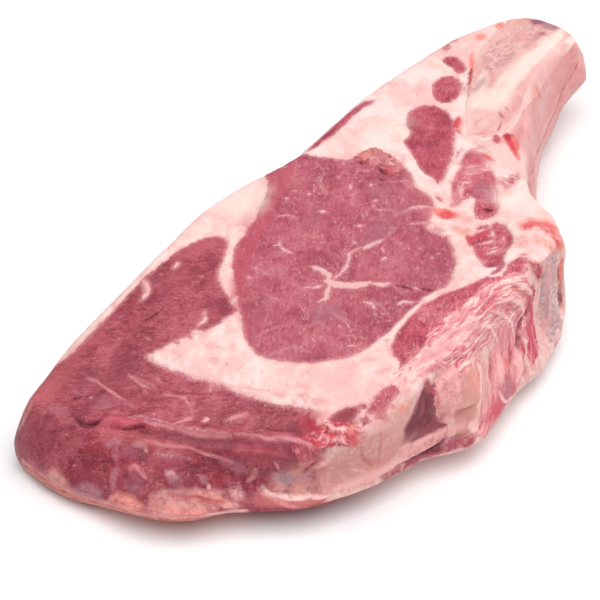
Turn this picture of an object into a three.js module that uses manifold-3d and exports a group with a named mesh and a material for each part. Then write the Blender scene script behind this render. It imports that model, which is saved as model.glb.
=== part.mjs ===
// Bone-in beef rib chop, one thick slice lying on its cut face.
// Millimetres, +Z up. The long axis runs along X: the thin tail at -X, the sawn bone end at +X.
// The outer (back) side faces +Y and the rib side faces -Y.
import * as THREE from 'three';
import { mergeVertices } from 'three/addons/utils/BufferGeometryUtils.js';
import Module from 'manifold-3d';

const wasm = await Module();
wasm.setup();

// Thickness of the slice from the table up.
const TAIL_THICKNESS = 28;
const MIDDLE_THICKNESS = 42;
const RIB_SIDE_LIFT = 5.5;
const BONE_END_DROP = 2;
// The bone end stands clear of the table by this much.
const BONE_END_CLEARANCE = 9.5;
// Gap left between neighbouring pieces.
const GAP = 0.3;
// Rounding of the upper and lower rims.
const RIM_ROUNDING = 1.8;
// Upright folds in the rib side.
const FOLD_DEPTH = 1.3;
const FOLD_PITCH = 9;
// Spacing of the points along a piece's outline.
const OUTLINE_STEP = 4.5;
// The solids that are cut against the slice reach past it above and below.
const ABOVE = 62;
const BELOW = -12;

// Rim of the slice, counter-clockwise: upper rim x y, lower rim x y, samples to the next point,
// swell of the wall at half height.
const RIM = [
  [-138, 53.5, -144.5, 57, 3, 2],
  [-138.5, 43, -147, 47.5, 3, 2],
  [-135, 31, -147, 34.5, 3, 1.5],
  [-129.5, 19, -142.8, 21, 3, 1.2],
  [-123.5, 7, -136, 7, 3, 1.2],
  [-118, -5, -127, -6.5, 3, 1.2],
  [-112, -18, -116, -17, 3, 1.2],
  [-104, -31.5, -104.5, -28.5, 3, 1.2],
  [-95, -43, -93, -39.5, 3, 1.2],
  [-84, -51, -80, -48, 3, 1.2],
  [-70, -55, -66, -53, 4, 1.2],
  [-58, -53.5, -54, -58, 5, 1.2],
  [-47, -51.5, -45, -62, 5, 1.2],
  [-33, -50.5, -30, -61, 6, 1.2],
  [-18, -51, -17, -59, 6, 1.2],
  [-3, -53, -1, -57.5, 6, 1.2],
  [10, -54.5, 11, -56.5, 5, 1.2],
  [22, -55, 22, -56, 4, 1.2],
  [31, -54, 30.5, -53.5, 3, 1.6],
  [39.5, -46.5, 40, -47, 3, 1.2],
  [45, -38, 46, -38, 3, 0.6],
  [50.5, -29.5, 53, -29, 3, 0.6],
  [58, -20.5, 62.5, -21.5, 3, 0.8],
  [70, -12, 75, -14, 3, 1.2],
  [82, -4, 87, -7, 3, 1.2],
  [95, 4, 99, -1, 3, 1.2],
  [108, 11, 112, 4.5, 3, 1.5],
  [122, 14.5, 125, 8, 3, 2.5],
  [138, 16.5, 138.5, 12.5, 3, 4.5],
  [149.5, 19, 149.5, 15.5, 3, 7],
  [152, 28, 151, 25, 3, 2.5],
  [150, 39, 149.5, 38, 3, 0.5],
  [143, 46, 143, 46, 3, 0.5],
  [131, 50.5, 131, 50.5, 3, 0.5],
  [117, 54.5, 117, 55, 3, 0.5],
  [99, 56, 99, 57, 4, 0.8],
  [75, 57.5, 75, 58.5, 4, 0.8],
  [50, 58, 50, 59.5, 4, 0.8],
  [27, 56.5, 27, 58.5, 4, 0.8],
  [8, 55.5, 8, 58, 4, 0.8],
  [-12, 59, -12, 60.5, 4, 0.8],
  [-37, 61.5, -37, 62.5, 4, 0.8],
  [-60, 59, -60, 61.5, 4, 0.8],
  [-85, 58, -85, 61, 4, 0.8],
  [-108, 60, -108, 62, 3, 1],
  [-125, 57.5, -128, 61.5, 3, 1.5],
];

// Levels of the side wall as shares of the height, from the upper rim to the lower one.
const WALL_LEVELS = [0, 0.02, 0.07, 0.18, 0.36, 0.57, 0.78, 0.93, 0.98, 1];

// Pieces in the order they claim their space: outline at the upper face, lower and upper z, colour, roughness.
// The shift is how far the outline has moved sideways at the table, as muscles run a little askew.
const PIECES = [
  {
    name: 'feather_bone',
    outline: [[61, 9], [66, 15], [76, 22], [88, 29], [101, 36], [113, 40.5], [128, 43], [145, 44], [160, 42],
      [160, 19], [146, 18.6], [130, 18], [115, 15], [103, 11], [90, 5.5], [77, 1.5], [67, 2.5]],
    low: BELOW,
    high: ABOVE,
    shift: [2, -2],
    color: 0xe9cdc4,
    roughness: 0.6,
  },
  {
    name: 'chine_bone',
    outline: [[10.5, -51], [16.5, -51.6], [22.3, -52], [22.6, -70], [10.5, -70]],
    low: BELOW,
    high: 45,
    shift: [0, 1],
    color: 0xc9b3b6,
    roughness: 0.65,
  },
  {
    name: 'cartilage_knob',
    outline: [[-49, -52], [-42, -49.5], [-34, -51], [-29.5, -57], [-30, -72], [-51, -72], [-51.5, -58]],
    low: 13,
    high: 44,
    shift: [0, 2],
    color: 0xe6cabd,
    roughness: 0.5,
  },
  {
    name: 'wall_muscle',
    outline: [[-63.5, -50.5], [-58, -49], [-53, -50.5], [-51.9, -57], [-52.5, -72], [-65, -68], [-66, -57]],
    low: 9,
    high: 38,
    shift: [-6, 1.5],
    color: 0x8a3c4a,
    roughness: 0.5,
  },
  {
    name: 'edge_fat',
    outline: [[-142, 49], [-143, 40], [-141, 29], [-136, 17], [-129.5, 4], [-121, -7], [-112, -16],
      [-121, -28], [-142, -10], [-160, 12], [-160, 49]],
    low: BELOW,
    high: 8,
    shift: [0, 0],
    color: 0xe7a397,
    roughness: 0.5,
  },
  {
    name: 'lower_muscle',
    outline: [[-109, -19], [-101, -30], [-91, -38], [-82, -44], [-90, -60], [-108, -46], [-120, -28]],
    low: BELOW,
    high: 7,
    shift: [0, 0],
    color: 0xa94c56,
    roughness: 0.5,
  },
  {
    name: 'edge_muscle',
    outline: [[-121.5, 18], [-119.3, 5], [-115, -5], [-110.5, -16], [-105.5, -25], [-101.5, -33], [-101.5, -37.5],
      [-106, -40.5], [-118, -48], [-140, -30], [-170, 10], [-160, 33], [-136, 31.5], [-128, 24.5]],
    low: BELOW,
    high: ABOVE,
    shift: [-1, 0],
    color: 0x9c4250,
    roughness: 0.48,
  },
  {
    name: 'corner_muscle',
    outline: [[-91.5, -36.5], [-86.5, -38.5], [-81.5, -42.8], [-87, -44.2], [-92, -42]],
    low: BELOW,
    high: ABOVE,
    shift: [4, 4],
    color: 0x86404f,
    roughness: 0.5,
  },
  {
    name: 'rim_muscle',
    outline: [[-82.5, -46], [-74, -45], [-67, -47.3], [-71, -50], [-79, -50]],
    low: BELOW,
    high: ABOVE,
    shift: [2, 4],
    color: 0xb4606f,
    roughness: 0.5,
  },
  {
    name: 'cap_muscle',
    outline: [[-44.5, 45], [-51, 51.5], [-62, 53.6], [-76, 54.6], [-88, 55.2], [-103, 55.5], [-121, 57.5],
      [-135, 70], [-165, 70], [-165, 10], [-130, -10], [-101, -38], [-97, -37.5], [-91.5, -34.5], [-91, -29],
      [-95, -18], [-97.5, -8], [-99.5, 4], [-102, 14], [-104, 26], [-104.3, 32], [-97.5, 29.5], [-90, 25.5],
      [-84.5, 20.5], [-77, 18.8], [-72, 17.4], [-69, 24], [-62, 35], [-52, 39.6]],
    low: BELOW,
    high: ABOVE,
    shift: [2, -1],
    color: 0xab5160,
    roughness: 0.48,
  },
  {
    name: 'eye_muscle',
    outline: [[-47, 39.3], [-36, 41.5], [-22, 47], [-10, 53.5], [-4, 62], [8, 62], [12.5, 52], [15, 45],
      [19.5, 36.5], [28.5, 35.5], [30.5, 27], [27.5, 16], [21.5, 7.5], [18.5, -2.5], [12, -5.5], [3.5, -10],
      [4.5, -16], [-1, -24.5], [-10, -30.5], [-19, -34], [-27, -30.8], [-45, -31], [-62, -29.5], [-74, -20.5],
      [-81.5, -7], [-83, 1.5], [-77, 10.8], [-68, 20], [-58, 30.5]],
    low: BELOW,
    high: ABOVE,
    shift: [3, -1.5],
    color: 0xb95e70,
    roughness: 0.46,
  },
  {
    name: 'under_muscle',
    outline: [[-64, -45], [-59.5, -42], [-58, -37.5], [-52, -34.6], [-44, -32.9], [-34, -33.2], [-25, -35.5],
      [-17, -40], [-7.5, -45], [-9.5, -49], [-20, -48.5], [-31, -49.2], [-44, -46.3], [-55, -45.5]],
    low: BELOW,
    high: ABOVE,
    shift: [0, 3],
    color: 0xb9586a,
    roughness: 0.5,
  },
  {
    name: 'knuckle_muscle',
    outline: [[-5, -48.8], [1.5, -46.2], [7.3, -47.5], [6, -51], [2, -52.6], [-3, -51.8]],
    low: BELOW,
    high: ABOVE,
    shift: [0, 3],
    color: 0xa9475a,
    roughness: 0.5,
  },
  {
    name: 'shoulder_muscle',
    outline: [[9, -23], [14.5, -26], [23.5, -27.5], [20, -33.5], [14.5, -39.5], [6, -41], [-1.5, -44.6],
      [-4.3, -41], [0, -34], [5, -28.5]],
    low: BELOW,
    high: ABOVE,
    shift: [1, 1],
    color: 0xba5a6b,
    roughness: 0.5,
  },
  {
    name: 'root_muscle',
    outline: [[23.5, -9], [27, -4.5], [34, -1], [43, 2], [51, 5.3], [57, 2], [56, -5], [50, -9.5], [46, -13],
      [38, -17.5], [30, -23.2], [24, -24], [20, -21], [24, -17], [31, -12.3], [27.5, -10]],
    low: BELOW,
    high: ABOVE,
    shift: [1, 1],
    color: 0xb35b6c,
    roughness: 0.5,
  },
  {
    name: 'back_muscle_large',
    outline: [[28.2, 2.3], [37, 4.5], [50, 10], [59, 16], [68, 23.5], [70.5, 29], [68, 35], [63, 38],
      [54, 35.5], [48.5, 29], [41.5, 27.5], [37, 20], [31, 11.5], [30.5, 6.5]],
    low: BELOW,
    high: ABOVE,
    shift: [1, 1],
    color: 0xa64c5c,
    roughness: 0.48,
  },
  {
    name: 'back_muscle_round',
    outline: [[73.5, 31.5], [76.5, 38], [83, 42], [90.5, 41.5], [91.5, 36.5], [87.5, 31.5], [79, 29]],
    low: BELOW,
    high: ABOVE,
    shift: [0, 1],
    color: 0xa84c5d,
    roughness: 0.48,
  },
  {
    name: 'back_muscle_crescent',
    outline: [[98, 47.5], [101.5, 49.5], [104.5, 46.5], [103, 41.5], [98.5, 37], [95.3, 38.7], [97, 43]],
    low: BELOW,
    high: ABOVE,
    shift: [0, -1],
    color: 0xa44759,
    roughness: 0.48,
  },
  {
    name: 'outer_muscle',
    outline: [[14, 53.6], [22, 52.4], [36, 53], [49, 54], [58, 52.4], [57.5, 54.8], [47, 56.6], [34, 56.2],
      [22, 55]],
    low: BELOW,
    high: ABOVE,
    shift: [0, -1],
    color: 0xbb5a6a,
    roughness: 0.5,
  },
  {
    name: 'flank_membrane',
    outline: [[59, 5], [66, 0.5], [77, -0.5], [90, 3.5], [103, 9], [115, 12.8], [130, 15.8], [146, 16.4],
      [170, 16], [170, -20], [60, -40], [57, -15]],
    low: BELOW,
    high: ABOVE,
    shift: [1, -1],
    color: 0xe3a9a6,
    roughness: 0.5,
  },
];

// Fat that fills what the pieces above leave.
const FAT = { name: 'fat_body', color: 0xf2d3cd, roughness: 0.55 };

// Open clefts in the rib side: plan outline with lower and upper z.
const CLEFTS = [
  { outline: [[23, -51.5], [24.5, -50.6], [26.3, -51.5], [26.8, -66], [22.9, -66]], low: 9, high: ABOVE },
  { outline: [[5, -53.8], [6.8, -52.6], [9, -54], [9.3, -66], [4, -66]], low: 12, high: 43 },
];

// The patch of silvery skin under the edge muscle belongs to the fat.
const SKIN_PATCH = {
  outline: [[-112, -12], [-104, -21], [-97, -33], [-91, -52], [-115, -60], [-132, -26]],
  low: BELOW,
  high: 15,
};

/** Smooth step from 0 at a to 1 at b. */
function ease(a, b, value) {
  const t = THREE.MathUtils.clamp((value - a) / (b - a), 0, 1);
  return t * t * (3 - 2 * t);
}

/** Height of the upper cut face at a plan position. */
function topHeight(x, y) {
  const base = THREE.MathUtils.lerp(TAIL_THICKNESS, MIDDLE_THICKNESS, ease(-136, -62, x));
  const lift = RIB_SIDE_LIFT * ease(-22, -50, y) * ease(-80, -40, x) * (1 - ease(32, 70, x));
  const drop = BONE_END_DROP * ease(40, 150, x);
  const ripple = 0.5 * Math.sin(x / 19 + 0.6) * Math.sin(y / 14 - 0.4);
  return base + lift - drop + ripple;
}

/** Height of the lower face at a plan position: flat, then rising under the bone. */
function bottomHeight(x) {
  return BONE_END_CLEARANCE * ease(58, 138, x);
}

/** Makes a manifold solid of a closed three.js geometry. */
function toSolid(geometry) {
  geometry.deleteAttribute('normal');
  geometry.deleteAttribute('uv');
  const merged = mergeVertices(geometry, 1e-4);
  return new wasm.Manifold(new wasm.Mesh({
    numProp: 3,
    vertProperties: new Float32Array(merged.attributes.position.array),
    triVerts: new Uint32Array(merged.index.array),
  }));
}

/** Turns a manifold solid back into a three.js geometry. */
function toGeometry(solid) {
  const mesh = solid.getMesh();
  const geometry = new THREE.BufferGeometry();
  geometry.setAttribute('position', new THREE.Float32BufferAttribute(mesh.vertProperties, 3));
  geometry.setIndex([...mesh.triVerts]);
  geometry.computeVertexNormals();
  return geometry;
}

/** Keeps the largest body of a solid and drops slivers. */
function largestBody(solid) {
  const bodies = solid.decompose();
  return bodies.reduce((best, body) => (body.volume() > best.volume() ? body : best));
}

/** Samples a closed smooth outline, grown outwards by a margin. */
function sampleOutline(points, margin) {
  const controls = points.map(([x, y]) => new THREE.Vector3(x, y, 0));
  const curve = new THREE.CatmullRomCurve3(controls, true, 'centripetal');
  const count = Math.max(points.length * 2, Math.round(curve.getLength() / OUTLINE_STEP));
  const samples = curve.getSpacedPoints(count).slice(0, -1);
  const turn = Math.sign(THREE.ShapeUtils.area(samples));
  return samples.map((point, i) => {
    const before = samples[(i + samples.length - 1) % samples.length];
    const after = samples[(i + 1) % samples.length];
    const along = after.clone().sub(before).normalize();
    return new THREE.Vector2(point.x + along.y * margin * turn, point.y - along.x * margin * turn);
  });
}

/** Prism over an outline, leaning so that it has moved sideways by the shift at the table. */
function prism(piece, margin) {
  const low = piece.low - margin;
  const high = piece.high + margin;
  const shape = new THREE.Shape(sampleOutline(piece.outline, margin));
  const geometry = new THREE.ExtrudeGeometry(shape, { depth: high - low, bevelEnabled: false });
  geometry.translate(0, 0, low);
  const position = geometry.attributes.position;
  const [shiftX, shiftY] = piece.shift ?? [0, 0];
  for (let i = 0; i < position.count; i += 1) {
    const share = 1 - position.getZ(i) / MIDDLE_THICKNESS;
    position.setX(i, position.getX(i) + shiftX * share);
    position.setY(i, position.getY(i) + shiftY * share);
  }
  return toSolid(geometry);
}

/** Upper and lower rim of the slice as matched samples with their outward directions. */
function sampleRims() {
  const upper = new THREE.CatmullRomCurve3(RIM.map((r) => new THREE.Vector3(r[0], r[1], 0)), true);
  const lower = new THREE.CatmullRomCurve3(RIM.map((r) => new THREE.Vector3(r[2], r[3], 0)), true);
  const samples = [];
  let travelled = 0;
  RIM.forEach((rim, i) => {
    for (let k = 0; k < rim[4]; k += 1) {
      const t = (i + k / rim[4]) / RIM.length;
      const top = upper.getPoint(t);
      const bottom = lower.getPoint(t);
      const along = upper.getTangent(t).add(lower.getTangent(t)).normalize();
      const previous = samples[samples.length - 1];
      travelled += previous ? previous.top.distanceTo(top) : 0;
      const swell = THREE.MathUtils.lerp(rim[5], RIM[(i + 1) % RIM.length][5], k / rim[4]);
      samples.push({ top, bottom, outX: along.y, outY: -along.x, travelled, swell });
    }
  });
  return samples;
}

/** How strongly the rib side is folded at a plan position. */
function foldWeight(x, y) {
  return ease(-34, -44, y) * ease(-62, -40, x) * (1 - ease(6, 26, x));
}

/** Side wall of the slice, running past the cut faces above and below. */
function wallSolid() {
  const samples = sampleRims();
  const count = samples.length;
  const vertices = [];
  const pushRing = (level, height) => {
    samples.forEach((sample) => {
      const top = topHeight(sample.top.x, sample.top.y);
      const bottom = bottomHeight(sample.bottom.x);
      const share = Math.sin((level * Math.PI) / 2);
      const toRim = Math.min(level, 1 - level) * (top - bottom);
      const near = Math.max(0, 1 - toRim / RIM_ROUNDING);
      const rounding = RIM_ROUNDING * (1 - Math.sqrt(1 - near * near));
      const weight = foldWeight(sample.top.x, sample.top.y) * Math.min(1, toRim / 6);
      const phase = (sample.travelled * 2 * Math.PI) / FOLD_PITCH + level * 1.5;
      const fold = FOLD_DEPTH * weight * (Math.sin(phase) + 0.4 * Math.sin(phase * 2.3 + 1));
      const out = sample.swell * Math.sin(level * Math.PI) + fold - rounding;
      vertices.push(
        THREE.MathUtils.lerp(sample.top.x, sample.bottom.x, share) + sample.outX * out,
        THREE.MathUtils.lerp(sample.top.y, sample.bottom.y, share) + sample.outY * out,
        height ?? THREE.MathUtils.lerp(top, bottom, level),
      );
    });
  };
  pushRing(0, ABOVE);
  WALL_LEVELS.forEach((level) => pushRing(level));
  pushRing(1, BELOW);

  const faces = [];
  const rings = WALL_LEVELS.length + 2;
  for (let ring = 0; ring < rings - 1; ring += 1) {
    for (let i = 0; i < count; i += 1) {
      const next = (i + 1) % count;
      const upper = ring * count;
      const lower = upper + count;
      faces.push(lower + i, lower + next, upper + next);
      faces.push(lower + i, upper + next, upper + i);
    }
  }
  const capContour = (offset) => samples.map((_, i) => new THREE.Vector2(
    vertices[(offset + i) * 3],
    vertices[(offset + i) * 3 + 1],
  ));
  const lastRing = (rings - 1) * count;
  THREE.ShapeUtils.triangulateShape(capContour(0), []).forEach(([a, b, c]) => faces.push(a, b, c));
  THREE.ShapeUtils.triangulateShape(capContour(lastRing), []).forEach(([a, b, c]) => {
    faces.push(lastRing + a, lastRing + c, lastRing + b);
  });
  const geometry = new THREE.BufferGeometry();
  geometry.setAttribute('position', new THREE.Float32BufferAttribute(vertices, 3));
  geometry.setIndex(faces);
  return toSolid(geometry);
}

/** Slab between the lower face and the upper cut face. */
function slabSolid() {
  const geometry = new THREE.BoxGeometry(330, 150, 1, 42, 19, 1);
  const position = geometry.attributes.position;
  for (let i = 0; i < position.count; i += 1) {
    const x = position.getX(i);
    const y = position.getY(i);
    position.setZ(i, position.getZ(i) > 0 ? topHeight(x, y) : bottomHeight(x));
  }
  return toSolid(geometry);
}

/** The whole chop before it is divided. */
function sliceSolid() {
  let slice = wallSolid().intersect(slabSolid());
  CLEFTS.forEach((cleft) => {
    slice = slice.subtract(prism(cleft, 0));
  });
  return slice;
}

/** Divides the slice into its pieces; what is left over is the fat. */
function divide(slice) {
  const solids = new Map();
  let rest = slice;
  PIECES.forEach((piece) => {
    let claim = prism(piece, 0);
    let cleared = prism(piece, GAP);
    if (piece.name === 'edge_muscle') {
      claim = claim.subtract(prism(SKIN_PATCH, 0));
      cleared = cleared.subtract(prism(SKIN_PATCH, -GAP));
    }
    solids.set(piece, largestBody(rest.intersect(claim)));
    rest = rest.subtract(cleared);
  });
  solids.set(FAT, largestBody(rest));
  return solids;
}

const chop = new THREE.Group();
chop.name = 'beef_rib_chop';
divide(sliceSolid()).forEach((solid, piece) => {
  const material = new THREE.MeshStandardMaterial({
    color: piece.color,
    roughness: piece.roughness,
    metalness: 0,
  });
  const mesh = new THREE.Mesh(toGeometry(solid), material);
  mesh.name = piece.name;
  chop.add(mesh);
});

// The origin goes to the middle of the footprint, at table height.
const bounds = new THREE.Box3().setFromObject(chop);
const centre = bounds.getCenter(new THREE.Vector3());
chop.children.forEach((mesh) => mesh.geometry.translate(-centre.x, -centre.y, -bounds.min.z));

export default chop;
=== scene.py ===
"""Looks of a raw beef rib chop that lies on a pale table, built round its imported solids.

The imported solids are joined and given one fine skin. That skin gets its relief and is then cut into one
closed piece for each muscle, bone and skin and for the fat between them. Lengths are in millimetres, and
places in the part's own frame, where nothing else is said.
"""

from __future__ import annotations

import logging
import math
from collections.abc import Sequence
from dataclasses import dataclass, field, replace
from enum import Enum

import bpy
import numpy as np
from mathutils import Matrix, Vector, kdtree
from mathutils.bvhtree import BVHTree


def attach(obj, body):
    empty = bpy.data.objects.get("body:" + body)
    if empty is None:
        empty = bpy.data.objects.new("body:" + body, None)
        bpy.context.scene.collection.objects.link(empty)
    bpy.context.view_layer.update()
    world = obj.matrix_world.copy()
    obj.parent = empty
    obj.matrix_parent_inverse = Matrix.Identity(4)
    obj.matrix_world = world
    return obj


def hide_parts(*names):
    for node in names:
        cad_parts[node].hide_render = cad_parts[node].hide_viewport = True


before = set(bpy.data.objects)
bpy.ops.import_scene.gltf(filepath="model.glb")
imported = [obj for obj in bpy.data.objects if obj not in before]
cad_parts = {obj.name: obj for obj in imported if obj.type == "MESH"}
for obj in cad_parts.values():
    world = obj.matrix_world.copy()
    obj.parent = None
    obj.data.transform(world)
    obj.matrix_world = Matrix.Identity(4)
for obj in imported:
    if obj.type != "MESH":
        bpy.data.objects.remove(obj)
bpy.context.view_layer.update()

LOG = logging.getLogger("rib_chop")
MM = 0.001

Item = bpy.types.Object
Socket = bpy.types.NodeSocket
Points = Sequence[tuple[float, ...]]


# Colours


# How bright the light on the upper side is, by which the colours seen there are divided, and how bright the
# walls are beside it.
BRIGHTNESS = 1.13
WALL_SHARE = 0.85


class Hue(str, Enum):
    """Colours of stains and tissue, and of painted highlights and painted shade on the walls, as they look in
    soft light.
    """

    WINE = "7a3a47"
    MAROON = "8f4150"
    BRICK = "a5525e"
    ROSE = "c26070"
    RED = "de4f58"
    CARMINE = "b83545"
    CORAL = "f3887b"
    SALMON = "e8958a"
    PEACH = "e8a894"
    BLUSH = "e9a4a2"
    SHELL = "f2b6b2"
    PETAL = "f6cbc4"
    IVORY = "fbe4da"
    PINK = "d88a90"
    TAN = "d3918a"
    SAND = "dfa69e"
    GREY = "dfb9bb"
    MAUVE = "b77f88"
    DUSK = "b4707d"
    SLATE = "b68c92"
    PLUM = "935a6a"
    RUST = "b9605f"
    CRIMSON = "c85566"
    ASH = "a98389"

    def surface(self, light: float) -> np.ndarray:
        """The surface's own linear red, green and blue, in a light with this share of the upper side's."""
        return np.array(linear(self)[:3]) / light


class Trace(str, Enum):
    """Colours of the fine structure inside lean, fat, bone and skin, and of the painted sheen, glints and pit
    shade on their fine bumps.
    """

    FIBRE_SHINE = "dc9aa2"
    BUNDLE_WALL = "dc969c"
    FAT_SPECK = "eab2b3"
    VEIN = "edb6b6"
    DASH = "eebcbc"
    FAT_BLUSH = "eea9a8"
    FAT_GLINT = "fff0e8"
    FAT_PIT_SHADE = "eeb0ae"
    FAT_THREAD = "df8288"
    LAYER_GLINT = "fbe4dc"
    LAYER_PIT_SHADE = "dc9494"
    LAYER_LINE = "cd6f76"
    BORDER = "e79ea2"
    STREAK_EDGE = "dd939b"
    STREAK = "f2c0be"
    SLIT_EDGE = "983646"
    SLIT = "69202e"
    BONE_HOLE = "a05a68"
    BONE_SLIT = "7a2534"
    SKIN_SLIT = "8a3340"


def linear(code: str) -> tuple[float, float, float, float]:
    """Turns an sRGB colour, as it looks in the studio's light, into the surface's own linear colour.

    Args:
        code: six hex digits.

    Returns:
        Red, green, blue and alpha, linear.
    """
    parts = [int(code[i : i + 2], 16) / 255 for i in (0, 2, 4)]
    bright = [p / 12.92 if p <= 0.04045 else ((p + 0.055) / 1.055) ** 2.4 for p in parts]
    return tuple(p / BRIGHTNESS for p in bright) + (1.0,)


# Noise and distance in numpy


# Whole numbers that scatter the numbers of the cells and of the patterns.
CELL_PRIMES = (73856093, 19349663, 83492791)
SEED_PRIME = 2654435761
SEED_RANGE = 4294967291
SCATTER = np.uint64(0x45D9F3B)
LOW_BITS = np.uint64(0xFFFFFFFF)
HALF_BITS = np.uint64(16)
SEED_STEP = 17


def lattice(cell: np.ndarray, seed: int) -> np.ndarray:
    """Gives each lattice cell a fixed random value from 0 to 1.

    Args:
        cell: whole cell numbers, one row of three for each point.
        seed: number of the pattern.

    Returns:
        One value for each row.
    """
    spread = cell.astype(np.int64).astype(np.uint64) * np.array(CELL_PRIMES, np.uint64)
    h = spread[:, 0] ^ spread[:, 1] ^ spread[:, 2]
    h = (h ^ np.uint64(seed * SEED_PRIME % SEED_RANGE)) & LOW_BITS
    for _ in range(2):
        h = (h ^ (h >> HALF_BITS)) * SCATTER & LOW_BITS
    h = h ^ (h >> HALF_BITS)
    return h.astype(np.float64) / float(LOW_BITS)


def noise(points: np.ndarray, size: float, seed: int) -> np.ndarray:
    """Smooth value noise from -1 to 1.

    Args:
        points: places in mm.
        size: width of a bump in mm.
        seed: number of the pattern.

    Returns:
        One value for each point.
    """
    p = points / size + 1000.0
    cell = np.floor(p)
    t = p - cell
    t = t * t * (3 - 2 * t)
    total = np.zeros(len(points))
    for corner in np.ndindex(2, 2, 2):
        x, y, z = (t[:, k] if corner[k] else 1 - t[:, k] for k in range(3))
        total += x * y * z * lattice(cell + corner, seed)
    return total * 2 - 1


def layered(points: np.ndarray, size: float, seed: int, layers: int = 3) -> np.ndarray:
    """Noise in layers, each half as wide and half as strong as the one before.

    Args:
        points: places in mm.
        size: width of the widest bumps in mm.
        seed: number of the pattern.
        layers: how many layers.

    Returns:
        One value for each point, about -1 to 1.
    """
    total = np.zeros(len(points))
    weight = 1.0
    whole = 0.0
    for k in range(layers):
        total += weight * noise(points, size / 2**k, seed + SEED_STEP * k)
        whole += weight
        weight *= 0.5
    return total / whole


def ease(low: float, high: float, value: np.ndarray) -> np.ndarray:
    """Smooth step from 0 at low to 1 at high."""
    t = np.clip((value - low) / (high - low), 0, 1)
    return t * t * (3 - 2 * t)


def along(points: np.ndarray, line: np.ndarray) -> tuple[np.ndarray, np.ndarray]:
    """Distance of each point to a broken line, and how far along the line that is.

    Args:
        points: places in mm, two or three columns.
        line: the line's corners in mm, with as many columns.

    Returns:
        The distance in mm, and the share of the line's length from its start.
    """
    best = np.full(len(points), 1e9)
    share = np.zeros(len(points))
    steps = np.linalg.norm(np.diff(line, axis=0), axis=1)
    whole = max(steps.sum(), 1e-6)
    run = 0.0
    if len(line) == 1:
        return np.linalg.norm(points - line[0], axis=1), np.full(len(points), 0.5)
    for k in range(len(line) - 1):
        a, d = line[k], line[k + 1] - line[k]
        t = np.clip(((points - a) @ d) / max(float(d @ d), 1e-9), 0, 1)
        gap = np.linalg.norm(points - a - t[:, None] * d, axis=1)
        near = gap < best
        best[near] = gap[near]
        share[near] = (run + t[near] * steps[k]) / whole
        run += steps[k]
    return best, share


def near_line(places: np.ndarray, line: np.ndarray, reach: float) -> np.ndarray:
    """Whether each place lies in the box round a line, widened by a reach in mm."""
    return np.all((places > line.min(0) - reach) & (places < line.max(0) + reach), axis=1)


# Marks on the meat


class Mark(Enum):
    """What a stroke on the meat is."""

    STREAK = "streak"
    CUT = "cut"
    PATCH = "patch"
    LEAN = "lean"
    FAT = "fat"
    PORE = "pore"
    FOLD = "fold"


@dataclass(frozen=True)
class Stroke:
    """One mark on the skin: a line or spot with its width, relief and colour."""

    mark: Mark
    width: float
    points: Points
    strength: float = 1.0
    height: float = 0.0
    hue: Hue = Hue.BLUSH
    seen: bool = False
    light: float = 1.0


# Fields of one value and of three for each corner that the finishes read, and the field that a line raises.
VALUE_FIELDS = ("border", "streak", "slit", "pore", "share", "wall", "leaf")
COLOUR_FIELDS = ("tint", "lane", "pale", "plain", "deep")
RAISED_FIELDS = {Mark.STREAK: "streak", Mark.CUT: "slit", Mark.LEAN: "border"}

# How far outside a streak or slit a corner counts when none is near, how much a faint mark draws back its
# edge, how far from its line a mark is drawn, and how much a corner looks up where marks are given in plan.
OUTSIDE = 4.0
FAINT_EDGE = 1.2
MARK_REACH = 4.0
LOOKS_UP = 0.35


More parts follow.
